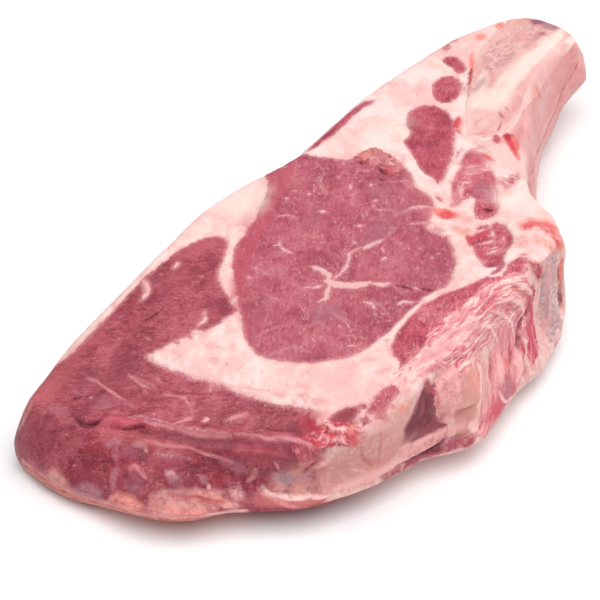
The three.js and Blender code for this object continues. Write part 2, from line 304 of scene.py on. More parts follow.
@dataclass
class Fields:
    """Values at each corner of the skin that the relief and the finishes read."""

    border: np.ndarray
    streak: np.ndarray
    slit: np.ndarray
    pore: np.ndarray
    tint: np.ndarray
    share: np.ndarray
    height: np.ndarray
    wall: np.ndarray
    leaf: np.ndarray
    lane: np.ndarray
    pale: np.ndarray
    plain: np.ndarray
    deep: np.ndarray

    @classmethod
    def blank(cls, count: int) -> "Fields":
        """Fields with nothing drawn on them."""
        values = {name: np.zeros(count) for name in (*VALUE_FIELDS, "height")}
        fields = cls(**values, **{name: np.zeros((count, 3)) for name in COLOUR_FIELDS})
        fields.streak -= OUTSIDE
        fields.slit -= OUTSIDE
        return fields

    def draw(self, stroke: Stroke, flat: np.ndarray, places: np.ndarray, top: np.ndarray) -> None:
        """Adds one stroke.

        Args:
            stroke: the mark to add.
            flat: wandering copy of the places, so that the marks' edges are uneven.
            places: the corners in mm.
            top: share to which each corner looks up, for marks given in plan.
        """
        line = np.array(stroke.points, float)
        wide = line.shape[1]
        near = near_line(places[:, :wide], line, stroke.width + MARK_REACH)
        if wide == 2:
            near &= top > LOOKS_UP
        index = np.nonzero(near)[0]
        if not len(index):
            return
        half = stroke.width / 2
        gap, run = along(flat[index][:, :wide], line)
        taper = half * (1 - 0.55 * np.abs(2 * run - 1) ** 3) if len(line) > 1 else half
        inside = taper - gap
        level = inside - (1 - stroke.strength) * FAINT_EDGE
        if stroke.mark in RAISED_FIELDS:
            values = getattr(self, RAISED_FIELDS[stroke.mark])
            values[index] = np.maximum(values[index], level)
        elif stroke.mark is Mark.FAT:
            self.border[index] = np.minimum(self.border[index], -level)
        elif stroke.mark is Mark.PORE:
            self.pore[index] = np.maximum(self.pore[index], ease(-0.8, 1.2, inside) * stroke.strength)
        elif stroke.mark is Mark.PATCH:
            self.stain_and_shade(stroke, index, inside)
        if stroke.height:
            self.height[index] += stroke.height * ease(-half * 0.7 - 0.3, half * 0.8, inside)

    def stain_and_shade(self, stroke: Stroke, index: np.ndarray, inside: np.ndarray) -> None:
        """Mixes a stroke's colour with the stains, painted highlights and painted shade below it.

        Args:
            stroke: the stain, painted highlight or painted shade.
            index: numbers of the corners near it.
            inside: how far each of them lies inside its edge, in mm.
        """
        half = stroke.width / 2
        soft = half * min(0.25 + 0.1 * half, 0.55) + 0.25
        fade = ease(-soft, soft, inside) * stroke.strength
        below = self.share[index] * (1 - fade)
        now = fade + below
        mixed = stroke.hue.surface(stroke.light) * fade[:, None] + self.tint[index] * below[:, None]
        self.tint[index] = mixed / np.maximum(now, 1e-6)[:, None]
        self.share[index] = now


@dataclass(frozen=True)
class Leaves:
    """Thin leaves of tissue that follow a guide line, in a band round a middle line."""

    hues: tuple[Hue, Hue, Hue]
    width: float
    thick: float
    stretch: float
    relief: float
    guide: Points
    middle: Points

    def draw(self, fields: Fields, flat: np.ndarray, places: np.ndarray, seed: int) -> None:
        """Marks where the leaves lie and how they run, and raises the thickest of them.

        Args:
            fields: where to draw.
            flat: wandering copy of the places.
            places: the corners in mm.
            seed: number of the pattern.
        """
        middle, guide = np.array(self.middle, float), np.array(self.guide, float)
        index = np.nonzero(near_line(places, middle, self.width))[0]
        off = along(flat[index], middle)[0]
        share = ease(self.width / 2 + 0.8, self.width / 2 - 1.4, off)
        gap, run = along(flat[index], guide)
        length = np.linalg.norm(np.diff(guide, axis=0), axis=1).sum()
        lane = np.stack([gap, run * length / self.stretch, 0 * gap], 1)
        level = layered(lane, self.thick * 1.8, seed, 2)
        fields.height[index] += self.relief * share * np.clip(level * 2.5, -1, 1)
        over = share >= np.maximum(fields.leaf[index], 0.01)
        index = index[over]
        fields.leaf[index] = share[over]
        fields.lane[index] = lane[over] / self.thick + (0, 0, seed)
        for name, hue in zip(("pale", "plain", "deep"), self.hues):
            getattr(fields, name)[index] = hue.surface(WALL_SHARE)


# The drawn marks, listed one by one. Marks on the upper side, down to BONE_PORES, are given in plan, from a
# zero near the eye's middle. Marks on the walls are given as pixels of the 600 by 600 picture, and a ray from
# the camera finds their place on the skin. Tones hold colour, width and share, folds hold width and relief,
# and all others hold width and strength. Their points follow.
EYE_STREAKS = (
    (2.4, 1, (-38.2, 11), (-37.6, 7), (-38.2, 3.5), (-41, 1.5)),
    (3.6, 1, (-41.5, 2.2), (-41, -2), (-39, -6), (-35.5, -9), (-33, -10.5)),
    (2.2, 1, (-33, -12), (-31.5, -14.5), (-29.3, -17)),
    (1.7, 1, (-41, 1), (-45, -1), (-49, -3.5), (-52, -2.5)),
    (1.4, 0.9, (-48, 3.2), (-44, 2)),
    (1, 0.5, (-49, -3), (-54, -5), (-58, -7)),
    (1.3, 1, (-39, 0.5), (-35, 0.5), (-31, 1), (-28, 2.5), (-25, 4.5), (-20, 3.7)),
    (2, 1, (-19.8, 2.6), (-17, 1.2), (-14, 0.8), (-11, 0)),
    (0.8, 0.75, (-11, 0), (-6, 0), (-2, -0.5)),
    (1.1, 0.9, (-33.5, 29), (-35.7, 28), (-37, 25), (-37, 20.5)),
    (1, 0.65, (-51, 29), (-51, 25), (-51, 20)),
    (1.8, 0.6, (-56.5, 26), (-56.3, 24)),
    (0.8, 0.9, (-22.5, 37.5), (-21, 35), (-20.3, 33)),
    (2.2, 0.75, (-12, 27.5), (-11, 25)),
    (1.2, 0.8, (-17.8, 8), (-18.8, 6)),
    (1.5, 0.5, (-29.5, 15), (-28, 15.5)),
    (1.2, 0.8, (-13.5, 42.5), (-14, 41)),
    (1.2, 0.8, (-8.6, 43), (-8, 42)),
    (1.3, 0.9, (-7.2, 37), (-6, 36)),
    (0.8, 0.75, (4, 39), (0.5, 37.4), (-1, 34.5), (-2.5, 31.5)),
    (1.5, 0.8, (8.5, 34.5), (7.8, 34)),
    (1.5, 0.8, (7, 28), (5, 26.5)),
    (1.5, 0.8, (12.5, 22.5), (11, 21.5)),
    (1, 0.65, (-2, 20.5), (0.5, 22), (4.5, 24)),
    (1, 0.9, (2.5, 13.5)),
    (1.3, 0.9, (5.5, 14.6)),
    (1, 0.85, (1, 12), (3, 9.5), (5.5, 6.5)),
    (1.2, 0.9, (4, 3.5), (9, 2.5), (12, 1), (13.7, -2.5)),
    (1.3, 0.9, (9.5, 3.2), (13, 0), (15.5, -4)),
    (1, 0.8, (2, -2.5), (5, -5.3), (8, -8.5)),
    (1.6, 0.9, (-20.5, -6.6), (-18.3, -7)),
    (0.9, 0.7, (-7, -13.6), (-5, -14)),
    (1.1, 0.8, (-5.2, -21), (-4.8, -20.6)),
    (1.2, 0.7, (-18, -19), (-16, -19.3)),
    (1.6, 0.75, (-42.5, -15), (-41.5, -17), (-43, -20.5)),
    (0.7, 0.55, (-44, -27), (-41.5, -23.5)),
    (1.7, 0.85, (-37, -25.5), (-34.5, -26.5), (-33, -29.5)),
    (0.8, 0.5, (-54, -11), (-53.5, -16), (-53.5, -20)),
    (1.2, 0.9, (-26.4, -24), (-25.2, -27)),
    (0.9, 0.5, (-66.5, -3.5), (-64, -6), (-66.5, -7.5)),
    (2.6, 0.3, (-10.5, 12.5), (-9, 9)),
    (1, 0.6, (-75, 3.5), (-72.5, 2.8)),
    (0.9, 0.5, (-62, 19), (-61, 17)),
    (0.8, 0.6, (-43, 15.5), (-42, 14)),
    (0.8, 0.5, (-27, 19.5), (-26.5, 18)),
    (0.8, 0.6, (-19, -1), (-18.5, -3)),
    (0.8, 0.6, (-10, -5), (-7.5, -7)),
    (0.8, 0.5, (-29, -17), (-31, -21), (-31, -25)),
    (0.8, 0.6, (-46.5, -26.5), (-45, -28)),
    (1, 0.5, (-57, -27), (-58, -24)),
    (0.9, 0.6, (18, 17), (21, 14), (19.5, 10)),
    (1, 0.7, (20.5, 14.5), (23.5, 11.5)),
    (1, 0.6, (22, 29), (25, 27)),
    (1, 0.6, (24, 21), (27, 19)),
    (1.1, 0.7, (26, 25), (29, 25)),
    (0.9, 0.6, (16, 30), (18, 27)),
    (0.8, 0.6, (-30, 40), (-26, 43)),
    (0.7, 0.7, (-81, -4), (-77, -6), (-74, -8.5)),
    (0.8, 0.7, (-66.5, -6), (-60, -9), (-60.5, -14)),
    (0.7, 0.6, (-74.5, 4), (-68, -0.5)),
    (0.8, 0.7, (-53.5, -9), (-54.5, -16), (-56, -20)),
    (0.7, 0.6, (-60, 10), (-60, 16)),
    (0.8, 0.6, (-50.5, 6.5), (-46.5, 4.5)),
    (0.7, 0.6, (-19, -10), (-15, -12)),
    (0.8, 0.6, (-40, -17), (-41, -22.5)),
    (0.7, 0.6, (-74, -7.5), (-72.5, -15)),
    (0.7, 0.6, (-60.5, -18.5), (-58, -25)),
    (0.7, 0.6, (-53, 27), (-47, 26.5)),
)
EYE_CUTS = (
    (1.3, 1, (-29, -19), (-28, -21), (-27.4, -24)),
    (1.3, 1, (-25, -26), (-24, -30.3)),
    (0.6, 0.6, (-59, 14.5), (-57, 13), (-54.5, 12.3)),
    (2, 1, (20, 32.6), (21.5, 33)),
    (2.2, 1, (21.5, 23.6), (21.2, 22)),
    (1.5, 0.8, (14, 19.8), (14.3, 18.6)),
    (1, 0.6, (-34, -15), (-33, -17)),
    (1, 0.6, (-18, -3.5), (-18.2, -5.5)),
    (0.7, 0.5, (-14, 4.5), (-15.5, 5)),
    (1, 0.8, (9, -24.5), (10.5, -22.5)),
)
EYE_TONES = (
    (Hue.CRIMSON, 6, 0.5, (-70, 20), (-60, 27), (-48, 34), (-36, 39), (-20, 45), (-8, 48.5), (2, 51)),
    (Hue.CRIMSON, 4, 0.4, (-78, 8), (-72, 17), (-66, 23)),
    (Hue.DUSK, 7, 0.45, (-18, 4), (-10, 4), (-2, 3)),
    (Hue.DUSK, 8, 0.4, (-2, 7), (5, 5), (10, 4)),
    (Hue.DUSK, 13, 0.4, (10, 14), (14, 19)),
    (Hue.DUSK, 9, 0.4, (-60, -8), (-54, -8)),
    (Hue.MAUVE, 5, 0.4, (-57, -4), (-52, -9), (-54, -15)),
    (Hue.DUSK, 8, 0.3, (-22, 26), (-14, 28)),
    (Hue.BRICK, 8, 0.35, (-72, 10), (-62, 14)),
    (Hue.BRICK, 10, 0.3, (-25, -22), (-12, -26)),
    (Hue.ROSE, 8, 0.4, (-34, 44), (-12, 51), (2, 57)),
    (Hue.ROSE, 5, 0.5, (-5, 52), (8, 56)),
    (Hue.PINK, 9, 0.55, (25, 33), (28, 28)),
    (Hue.SALMON, 5, 0.6, (24, 34), (28, 33.5)),
    (Hue.PINK, 6, 0.5, (27, 20), (28, 24)),
    (Hue.PINK, 5, 0.4, (20, 8), (24, 14)),
    (Hue.CORAL, 5, 0.6, (13, -6.5), (15, -9)),
    (Hue.RED, 4.2, 0.9, (15.5, -11), (17.5, -11.5)),
    (Hue.SALMON, 5, 0.6, (11, -17), (10, -21), (12, -24)),
    (Hue.RED, 4.5, 0.6, (11, -26), (14, -28)),
    (Hue.BLUSH, 8, 0.5, (14, -17), (19, -15)),
    (Hue.BLUSH, 5, 0.5, (5, -11), (9, -12)),
    (Hue.ROSE, 5, 0.5, (5, -12), (7, -14)),
)
CAP_STREAKS = (
    (0.9, 0.8, (-119.5, 45), (-119.3, 40)),
    (1.4, 0.9, (-125.8, 38), (-125.4, 37)),
    (1, 0.85, (-111.8, 33), (-111.5, 28), (-110.8, 21)),
    (1, 0.7, (-114, 24.3), (-114.5, 22.5)),
    (1, 0.75, (-108, 24), (-108.6, 20.5)),
    (1.5, 0.8, (-119.6, 14.8), (-119.2, 14)),
    (1.1, 0.85, (-117.5, 6), (-114.8, 4), (-113, 3)),
    (0.8, 0.6, (-113, 3.5), (-109, 6.3)),
    (2, 0.85, (-112.3, -1), (-111.6, -2)),
    (1.1, 0.85, (-109, -7.3), (-105.5, -9.5), (-102.8, -12)),
    (1.2, 0.9, (-102.4, 4.5), (-100.2, 5.3)),
    (1.3, 0.35, (-121, 31), (-120.3, 22)),
    (0.9, 0.5, (-139, 46.8), (-142.5, 45.8)),
    (0.9, 0.6, (-97.5, 38), (-97, 36)),
    (1, 0.4, (-116, 50), (-115, 47)),
    (0.8, 0.5, (-96, 51.5), (-95, 50)),
    (0.9, 0.4, (-110.5, 13.5), (-110, 10)),
    (0.8, 0.5, (-75.5, 52), (-74, 51)),
    (0.8, 0.5, (-127, 45), (-126.6, 43)),
    (0.9, 0.4, (-103, 46), (-101.5, 44)),
    (1, 0.6, (-106.5, 11.5), (-106, 10)),
    (1.2, 0.6, (-134, 28.2), (-131.5, 26.3), (-128.5, 24)),
    (1.3, 0.8, (-125, 21), (-122.3, 18), (-120.6, 12), (-119.2, 5.5)),
    (1.2, 0.85, (-119.2, 5), (-116.8, -1), (-114.3, -6), (-112.3, -12)),
    (1.1, 0.75, (-111, -13.5), (-109, -17.2), (-107.3, -21), (-104.7, -27), (-102.3, -31.5), (-100.8, -35.5)),
    (1.3, 0.7, (-127.3, 7), (-126, 3), (-124.6, 0)),
    (0.9, 0.6, (-124.6, 0), (-123, -5), (-121.4, -9)),
    (0.8, 0.5, (-118, -1), (-115.5, -6)),
)
CAP_CUTS = (
    (1.3, 1, (-129, 42), (-127, 40.4)),
    (1, 0.9, (-126, 39), (-125.4, 38.3)),
    (1.2, 1, (-121.8, 36.6), (-121.2, 35)),
    (1.1, 0.9, (-115.6, 26.2), (-114.4, 25)),
    (1.3, 0.7, (-109, 38.6), (-107.6, 38)),
    (1, 0.95, (-93, 42.6), (-90, 41.6), (-86, 40)),
    (0.9, 0.8, (-94.3, 27), (-93.5, 25.7)),
    (0.9, 0.85, (-129.5, 33.5), (-126, 29.5), (-122.5, 26.5)),
    (0.8, 0.8, (-117, 20), (-114, 16.4), (-111.3, 13.4)),
    (0.8, 0.75, (-110, 18), (-108, 13), (-105, 7), (-103, 4)),
    (0.7, 0.6, (-107, 20.5), (-106.4, 16)),
    (1, 0.85, (-105, -17), (-102, -24), (-99, -31)),
    (0.8, 0.7, (-103, -19), (-99.6, -27)),
    (1.4, 1, (-135.3, 35.3), (-135, 32), (-133.5, 29.8), (-130.8, 28)),
    (1.4, 0.95, (-131, 24), (-127, 18), (-124.3, 14)),
    (0.9, 0.7, (-75, 34), (-70, 36), (-64, 37.6)),
    (0.8, 0.5, (-84, 34.5), (-80, 36)),
    (0.8, 0.5, (-119.3, 29), (-118, 26)),
    (0.9, 0.6, (-137.5, 41), (-136.4, 40.6)),
    (0.8, 0.6, (-66, 40), (-58, 39)),
    (0.9, 0.6, (-105.3, 34), (-104.6, 33)),
    (1.2, 0.5, (-128, 21), (-124, 16)),
    (0.8, 0.5, (-118.5, 41), (-117, 37)),
    (0.8, 0.45, (-101, 37), (-97, 35)),
    (0.8, 0.45, (-90, 31), (-87, 29.5)),
    (2.4, 0.8, (26.5, -19), (28, -22)),
)
CAP_TONES = (
    (Hue.RUST, 9, 0.5, (-137, 50), (-128, 53), (-120, 54)),
    (Hue.MAROON, 16, 0.3, (-130, 40), (-120, 38), (-108, 30)),
    (Hue.ROSE, 5, 0.5, (-118, 55), (-108, 54), (-96, 53)),
    (Hue.MAROON, 8, 0.4, (-122, 49), (-118, 44)),
    (Hue.MAROON, 9, 0.35, (-112, 40), (-104, 38)),
    (Hue.DUSK, 6, 0.4, (-128, 33), (-122, 31)),
    (Hue.ROSE, 7, 0.35, (-80, 45), (-66, 46)),
    (Hue.ROSE, 6, 0.5, (-66, 52), (-56, 49), (-50, 46)),
    (Hue.ROSE, 5, 0.5, (-84, 29), (-76, 24)),
    (Hue.CARMINE, 6, 0.7, (-96, -29), (-95, -33), (-99, -34.5)),
    (Hue.MAROON, 5, 0.6, (-99, -26), (-98, -30)),
    (Hue.WINE, 8, 0.5, (-116, -14), (-111, -25), (-107, -33)),
    (Hue.RUST, 6, 0.4, (-118, -4), (-114, -12)),
    (Hue.RUST, 5, 0.5, (-128, 12), (-124, 8)),
    (Hue.ROSE, 3, 0.6, (-104, -24), (-102, -29)),
    (Hue.BLUSH, 3, 0.5, (-84, 49), (-79, 54)),
    (Hue.BLUSH, 3.6, 0.65, (-92.7, 10.5)),
    (Hue.PINK, 1, 0.7, (-91.4, 6)),
    (Hue.BLUSH, 0.8, 0.6, (-98.3, 3), (-95, -6), (-92, -14), (-89.8, -21)),
    (Hue.BLUSH, 1, 0.5, (-92.5, -7), (-91.6, -5)),
    (Hue.BLUSH, 1.4, 0.5, (-89, -21), (-87.5, -25), (-86.5, -31)),
    (Hue.BLUSH, 3, 0.45, (-88, -28), (-86, -33)),
    (Hue.MAUVE, 3.5, 0.5, (-92.5, -33.5), (-91, -34.5)),
    (Hue.SHELL, 8, 0.35, (-78, -28), (-70, -33)),
    (Hue.SHELL, 5, 0.4, (-60, -32), (-55, -35)),
    (Hue.MAUVE, 1.8, 0.6, (-55, -34.2), (-54, -33.2)),
    (Hue.SHELL, 5, 0.4, (-98, 22), (-90, 23)),
    (Hue.BLUSH, 3, 0.5, (-88, 21), (-84, 19)),
    (Hue.SHELL, 5, 0.35, (-5, -34), (-2, -38)),
    (Hue.BLUSH, 5, 0.4, (26, -6), (22, -10)),
    (Hue.SHELL, 5, 0.4, (27, 45), (24, 41)),
    (Hue.SHELL, 6, 0.35, (35, 47), (32, 40)),
    (Hue.BLUSH, 4, 0.4, (31, 31), (33, 26), (31, 20)),
    (Hue.ROSE, 5, 0.7, (50, 2), (54, -1)),
    (Hue.ROSE, 4, 0.5, (47, 1), (44, 3)),
    (Hue.MAROON, 6, 0.3, (58, 35), (50, 30)),
)
CAP_FAT = (
    (1.6, 1, (-86, 49), (-82, 49.3), (-80, 52), (-79, 55)),
    (1.3, 1, (-69.5, 49.2), (-66, 49.6)),
    (2, 1, (-84, 24.5), (-81.5, 24), (-78.5, 26.5)),
    (1.4, 1, (-87.5, 24), (-86, 21)),
    (1.4, 0.9, (28, -9), (31, -6), (36, -4)),
    (1.2, 0.9, (34, -3), (37, -6)),
    (1.4, 0.9, (26, -13), (31, -11)),
    (1.3, 0.9, (44, 0), (47, -3)),
    (1.2, 0.9, (40, -2), (43, -5)),
    (1.1, 0.9, (8, -30), (11, -33)),
    (1.1, 0.9, (14, -31), (17, -29)),
    (1.2, 0.9, (3, -36), (6, -37.5)),
    (1.1, 0.9, (12, -36.5), (15, -35)),
    (1.1, 0.9, (48, -7), (51, -5)),
)
CAP_LEAN = (
    (3.2, 1, (-82, 21.2), (-77, 20)),
    (1.6, 0.8, (-88, 26), (-90, 23)),
    (2, 0.8, (-62, -49.5), (-58, -49), (-53, -50)),
    (1.4, 0.7, (-46, -52), (-38, -51.5)),
    (2.2, 0.8, (-31, -56), (-24, -54), (-18, -55.5)),
    (1.4, 0.7, (-21, -51), (-14, -52)),
    (1.8, 0.7, (-54, -53), (-47, -53.5)),
    (1.5, 0.6, (-36, -54), (-30, -53)),
    (2.6, 0.8, (-8, -44), (-4, -45), (1, -43.5)),
    (2.2, 0.8, (-6, -48.5), (-3, -47.5)),
    (2, 0.7, (7, -46), (9, -48.5)),
    (1.6, 0.7, (-2, -41), (2, -42)),
    (2, 0.8, (21, -8.5), (25, -10)),
    (1.8, 0.7, (20, -5), (22, -1)),
    (3, 0.8, (15, -24), (20, -26)),
    (1.6, 0.7, (58, 5), (61, 8)),
    (1.5, 0.7, (46, 6), (52, 8.5)),
    (2, 0.8, (55, 1), (59, 4)),
    (1.4, 0.7, (72, 4), (78, 7)),
    (1.2, 0.7, (64, 9), (67, 8)),
    (1.2, 0.7, (60, 11), (66, 13)),
)
BONE_TONES = (
    (Hue.IVORY, 6, 0.85, (94, 20), (110, 20.5), (128, 21), (150, 21.5)),
    (Hue.IVORY, 5, 0.6, (76, 20), (90, 24.5), (102, 30)),
    (Hue.SHELL, 5, 0.5, (92, 18), (102, 19)),
    (Hue.MAUVE, 3, 0.5, (88, 26), (99, 28)),
    (Hue.MAUVE, 4, 0.35, (108, 28), (122, 28)),
    (Hue.MAUVE, 3, 0.45, (128, 27), (142, 27.5)),
    (Hue.BLUSH, 6, 0.5, (128, 34), (138, 33)),
    (Hue.PEACH, 4, 0.6, (141, 40), (147, 39)),
    (Hue.DUSK, 6, 0.8, (148, 36), (149, 33)),
    (Hue.SLATE, 6, 0.8, (147, 28), (150, 26)),
    (Hue.PLUM, 3, 0.7, (146.5, 33), (149, 35)),
    (Hue.PETAL, 5, 0.6, (104, 38), (120, 43), (134, 44)),
    (Hue.CORAL, 2.4, 0.85, (101, 36), (106, 39), (112, 42)),
    (Hue.CARMINE, 1.8, 0.9, (90, 30.5), (96, 33), (101, 36)),
    (Hue.TAN, 3, 0.6, (84, 28), (90, 30)),
    (Hue.CORAL, 5, 0.8, (122, 46), (126, 45.5)),
    (Hue.CORAL, 3.4, 0.8, (134, 44.6), (139, 46)),
    (Hue.RUST, 3, 0.9, (106, 52), (110, 53.5)),
    (Hue.PINK, 2.4, 0.7, (112, 54), (117, 53)),
    (Hue.RED, 3.6, 0.9, (60.5, 14.5), (64, 17), (69, 20.5)),
    (Hue.BLUSH, 6, 0.5, (36, -21), (43, -19)),
    (Hue.PETAL, 6, 0.5, (52, -8), (58, -6)),
)
BONE_PORES = (
    (7, 1, (84, 25), (95, 28), (108, 31)),
    (12, 1, (106, 31.5), (120, 33), (134, 33)),
    (14, 1, (132, 33), (148, 32)),
    (3, 0.7, (66, 12), (72, 14)),
    (3, 0.7, (70, 8), (76, 9)),
    (2.5, 0.7, (82, 18), (86, 16)),
)
# Tones on the near wall of the tail: colours of its tissue and stains, and along its folds painted highlights
# on the ridges and painted shade in the furrows and under the ridges.
TAIL_TONES = (
    (Hue.MAUVE, 2.4, 0.6, (107, 446), (114, 441), (121, 443)),
    (Hue.MAUVE, 2, 0.55, (116, 447), (113, 455), (116, 463)),
    (Hue.MAUVE, 2.6, 0.5, (117, 467), (112, 478), (113, 491)),
    (Hue.PLUM, 5, 0.5, (126, 448), (132, 456)),
    (Hue.PLUM, 4.5, 0.6, (141, 452), (146, 458)),
    (Hue.MAUVE, 2.6, 0.6, (134, 445), (143, 444), (146, 450)),
    (Hue.GREY, 1.2, 0.8, (147, 450)),
    (Hue.PINK, 1.2, 0.6, (130, 469), (136, 467), (141, 471), (146, 477)),
    (Hue.BLUSH, 1.1, 0.6, (166, 474), (172, 473), (178, 479)),
    (Hue.PLUM, 4.5, 0.5, (127, 482), (141, 482)),
    (Hue.MAUVE, 2.4, 0.5, (165, 471), (171, 476), (175, 482)),
    (Hue.PLUM, 3.5, 0.5, (176, 479), (179, 484)),
    (Hue.MAUVE, 2.6, 0.5, (200, 478), (206, 482)),
    (Hue.SHELL, 1.2, 0.8, (209, 486)),
    (Hue.DUSK, 4.5, 0.5, (222, 461), (234, 465), (246, 470)),
    (Hue.TAN, 2.2, 0.6, (256, 468), (253, 477), (248, 481)),
    (Hue.MAROON, 6, 0.5, (75, 478), (92, 484), (106, 488)),
    (Hue.MAROON, 7, 0.45, (36, 430), (46, 420), (34, 440)),
    (Hue.BRICK, 5, 0.5, (16, 445), (22, 452), (32, 462)),
    (Hue.ROSE, 3.5, 0.7, (28, 460), (35, 468), (40, 477)),
    (Hue.TAN, 5.5, 0.8, (47, 474), (56, 479), (66, 484)),
    (Hue.MAUVE, 5, 0.7, (74, 489), (86, 491), (101, 495)),
    (Hue.SALMON, 5, 0.75, (113, 501), (128, 504), (140, 507)),
    (Hue.TAN, 5, 0.75, (150, 510), (175, 513), (196, 511), (214, 509)),
    (Hue.TAN, 2.6, 0.7, (150, 503), (172, 504), (196, 504), (214, 506)),
    (Hue.CORAL, 2.2, 0.4, (166, 511), (186, 513), (206, 511)),
    (Hue.SHELL, 3, 0.6, (222, 505), (238, 505)),
    (Hue.SAND, 2.4, 0.45, (150, 496), (178, 494), (204, 493), (224, 492)),
    (Hue.SHELL, 3.4, 0.6, (230, 490), (242, 495)),
    (Hue.SALMON, 3, 0.6, (190, 496), (212, 498), (228, 502)),
    (Hue.RUST, 1.3, 0.85, (170, 497), (190, 498), (208, 501), (226, 505)),
    (Hue.BLUSH, 1.4, 0.6, (104, 503), (112, 497), (118, 492)),
    (Hue.RUST, 5, 0.8, (256, 499), (272, 502), (300, 503), (322, 500)),
    (Hue.PINK, 2.2, 0.7, (258, 490), (272, 497), (300, 508), (318, 505)),
    (Hue.PEACH, 2, 0.7, (24, 410), (27, 403)),
    (Hue.TAN, 1.6, 0.5, (38, 396), (30, 408), (24, 420), (17, 431)),
    (Hue.ROSE, 3, 0.5, (50, 385), (40, 395), (34, 405)),
    (Hue.DUSK, 5, 0.4, (54, 408), (66, 412)),
    (Hue.RUST, 5, 0.35, (100, 432), (130, 436), (160, 446)),
    (Hue.ROSE, 4, 0.4, (150, 462), (185, 466)),
    (Hue.MAROON, 6, 0.45, (270, 460), (300, 462)),
    (Hue.WINE, 1.8, 0.75, (78, 421), (96, 427), (112, 425)),
    (Hue.WINE, 2, 0.6, (140, 431), (170, 437), (205, 442), (240, 446)),
    (Hue.PINK, 1.2, 0.7, (128, 418), (150, 424), (172, 430), (196, 435), (232, 439)),
    (Hue.ROSE, 2.6, 0.6, (100, 424), (120, 424), (142, 421)),
    (Hue.MAROON, 5, 0.5, (255, 472), (290, 472)),
    (Hue.CRIMSON, 8, 0.4, (238, 450), (258, 452), (282, 455)),
    (Hue.PINK, 1, 0.85, (86, 376), (97, 383), (108, 390), (125, 401)),
    (Hue.PINK, 1, 0.8, (129, 376), (142, 385), (150, 388)),
    (Hue.PINK, 0.9, 0.7, (165, 395), (185, 398), (191, 406), (191, 416)),
    (Hue.PINK, 1.2, 0.85, (175, 426), (184, 422), (193, 418)),
    (Hue.BLUSH, 1.6, 0.9, (202, 420.5), (205, 419), (208, 420)),
    (Hue.PINK, 1.2, 0.85, (226, 421), (237, 417), (248, 413)),
    (Hue.PINK, 1.3, 0.7, (147, 440), (162, 445), (190, 448), (212, 455), (232, 462)),
    (Hue.CRIMSON, 3, 0.6, (96, 427), (112, 423), (138, 421)),
    (Hue.WINE, 1.1, 0.7, (96, 394), (104, 392)),
    (Hue.WINE, 5, 0.35, (236, 455), (252, 462)),
    (Hue.PINK, 1.4, 0.8, (252, 438), (280, 437), (300, 441), (312, 446)),
    (Hue.MAROON, 1.8, 0.7, (250, 443), (280, 443), (305, 448)),
    (Hue.WINE, 1.6, 0.5, (252, 456), (280, 458), (300, 461)),
    (Hue.BLUSH, 1, 0.7, (276, 462), (279, 469)),
)
TAIL_CUTS = (
    (1.2, 0.9, (176, 498), (196, 500), (216, 503), (233, 506)),
    (2.6, 0.8, (169, 497), (172, 499)),
)
TAIL_FOLDS = (
    (3.2, 0.9, (76, 415), (110, 421), (160, 425), (210, 431), (260, 437)),
    (2.4, -0.9, (80, 423), (130, 430), (190, 439), (250, 446)),
    (2, 0.5, (104, 447), (120, 443)),
    (3, 0.6, (134, 445), (146, 449)),
    (3, 0.6, (131, 471), (146, 477)),
    (2.6, 0.6, (166, 473), (176, 482)),
    (2.6, 0.6, (200, 479), (209, 486)),
    (3, 0.5, (117, 467), (112, 478), (113, 491)),
    (3.5, -0.5, (120, 462), (150, 466), (200, 474)),
)
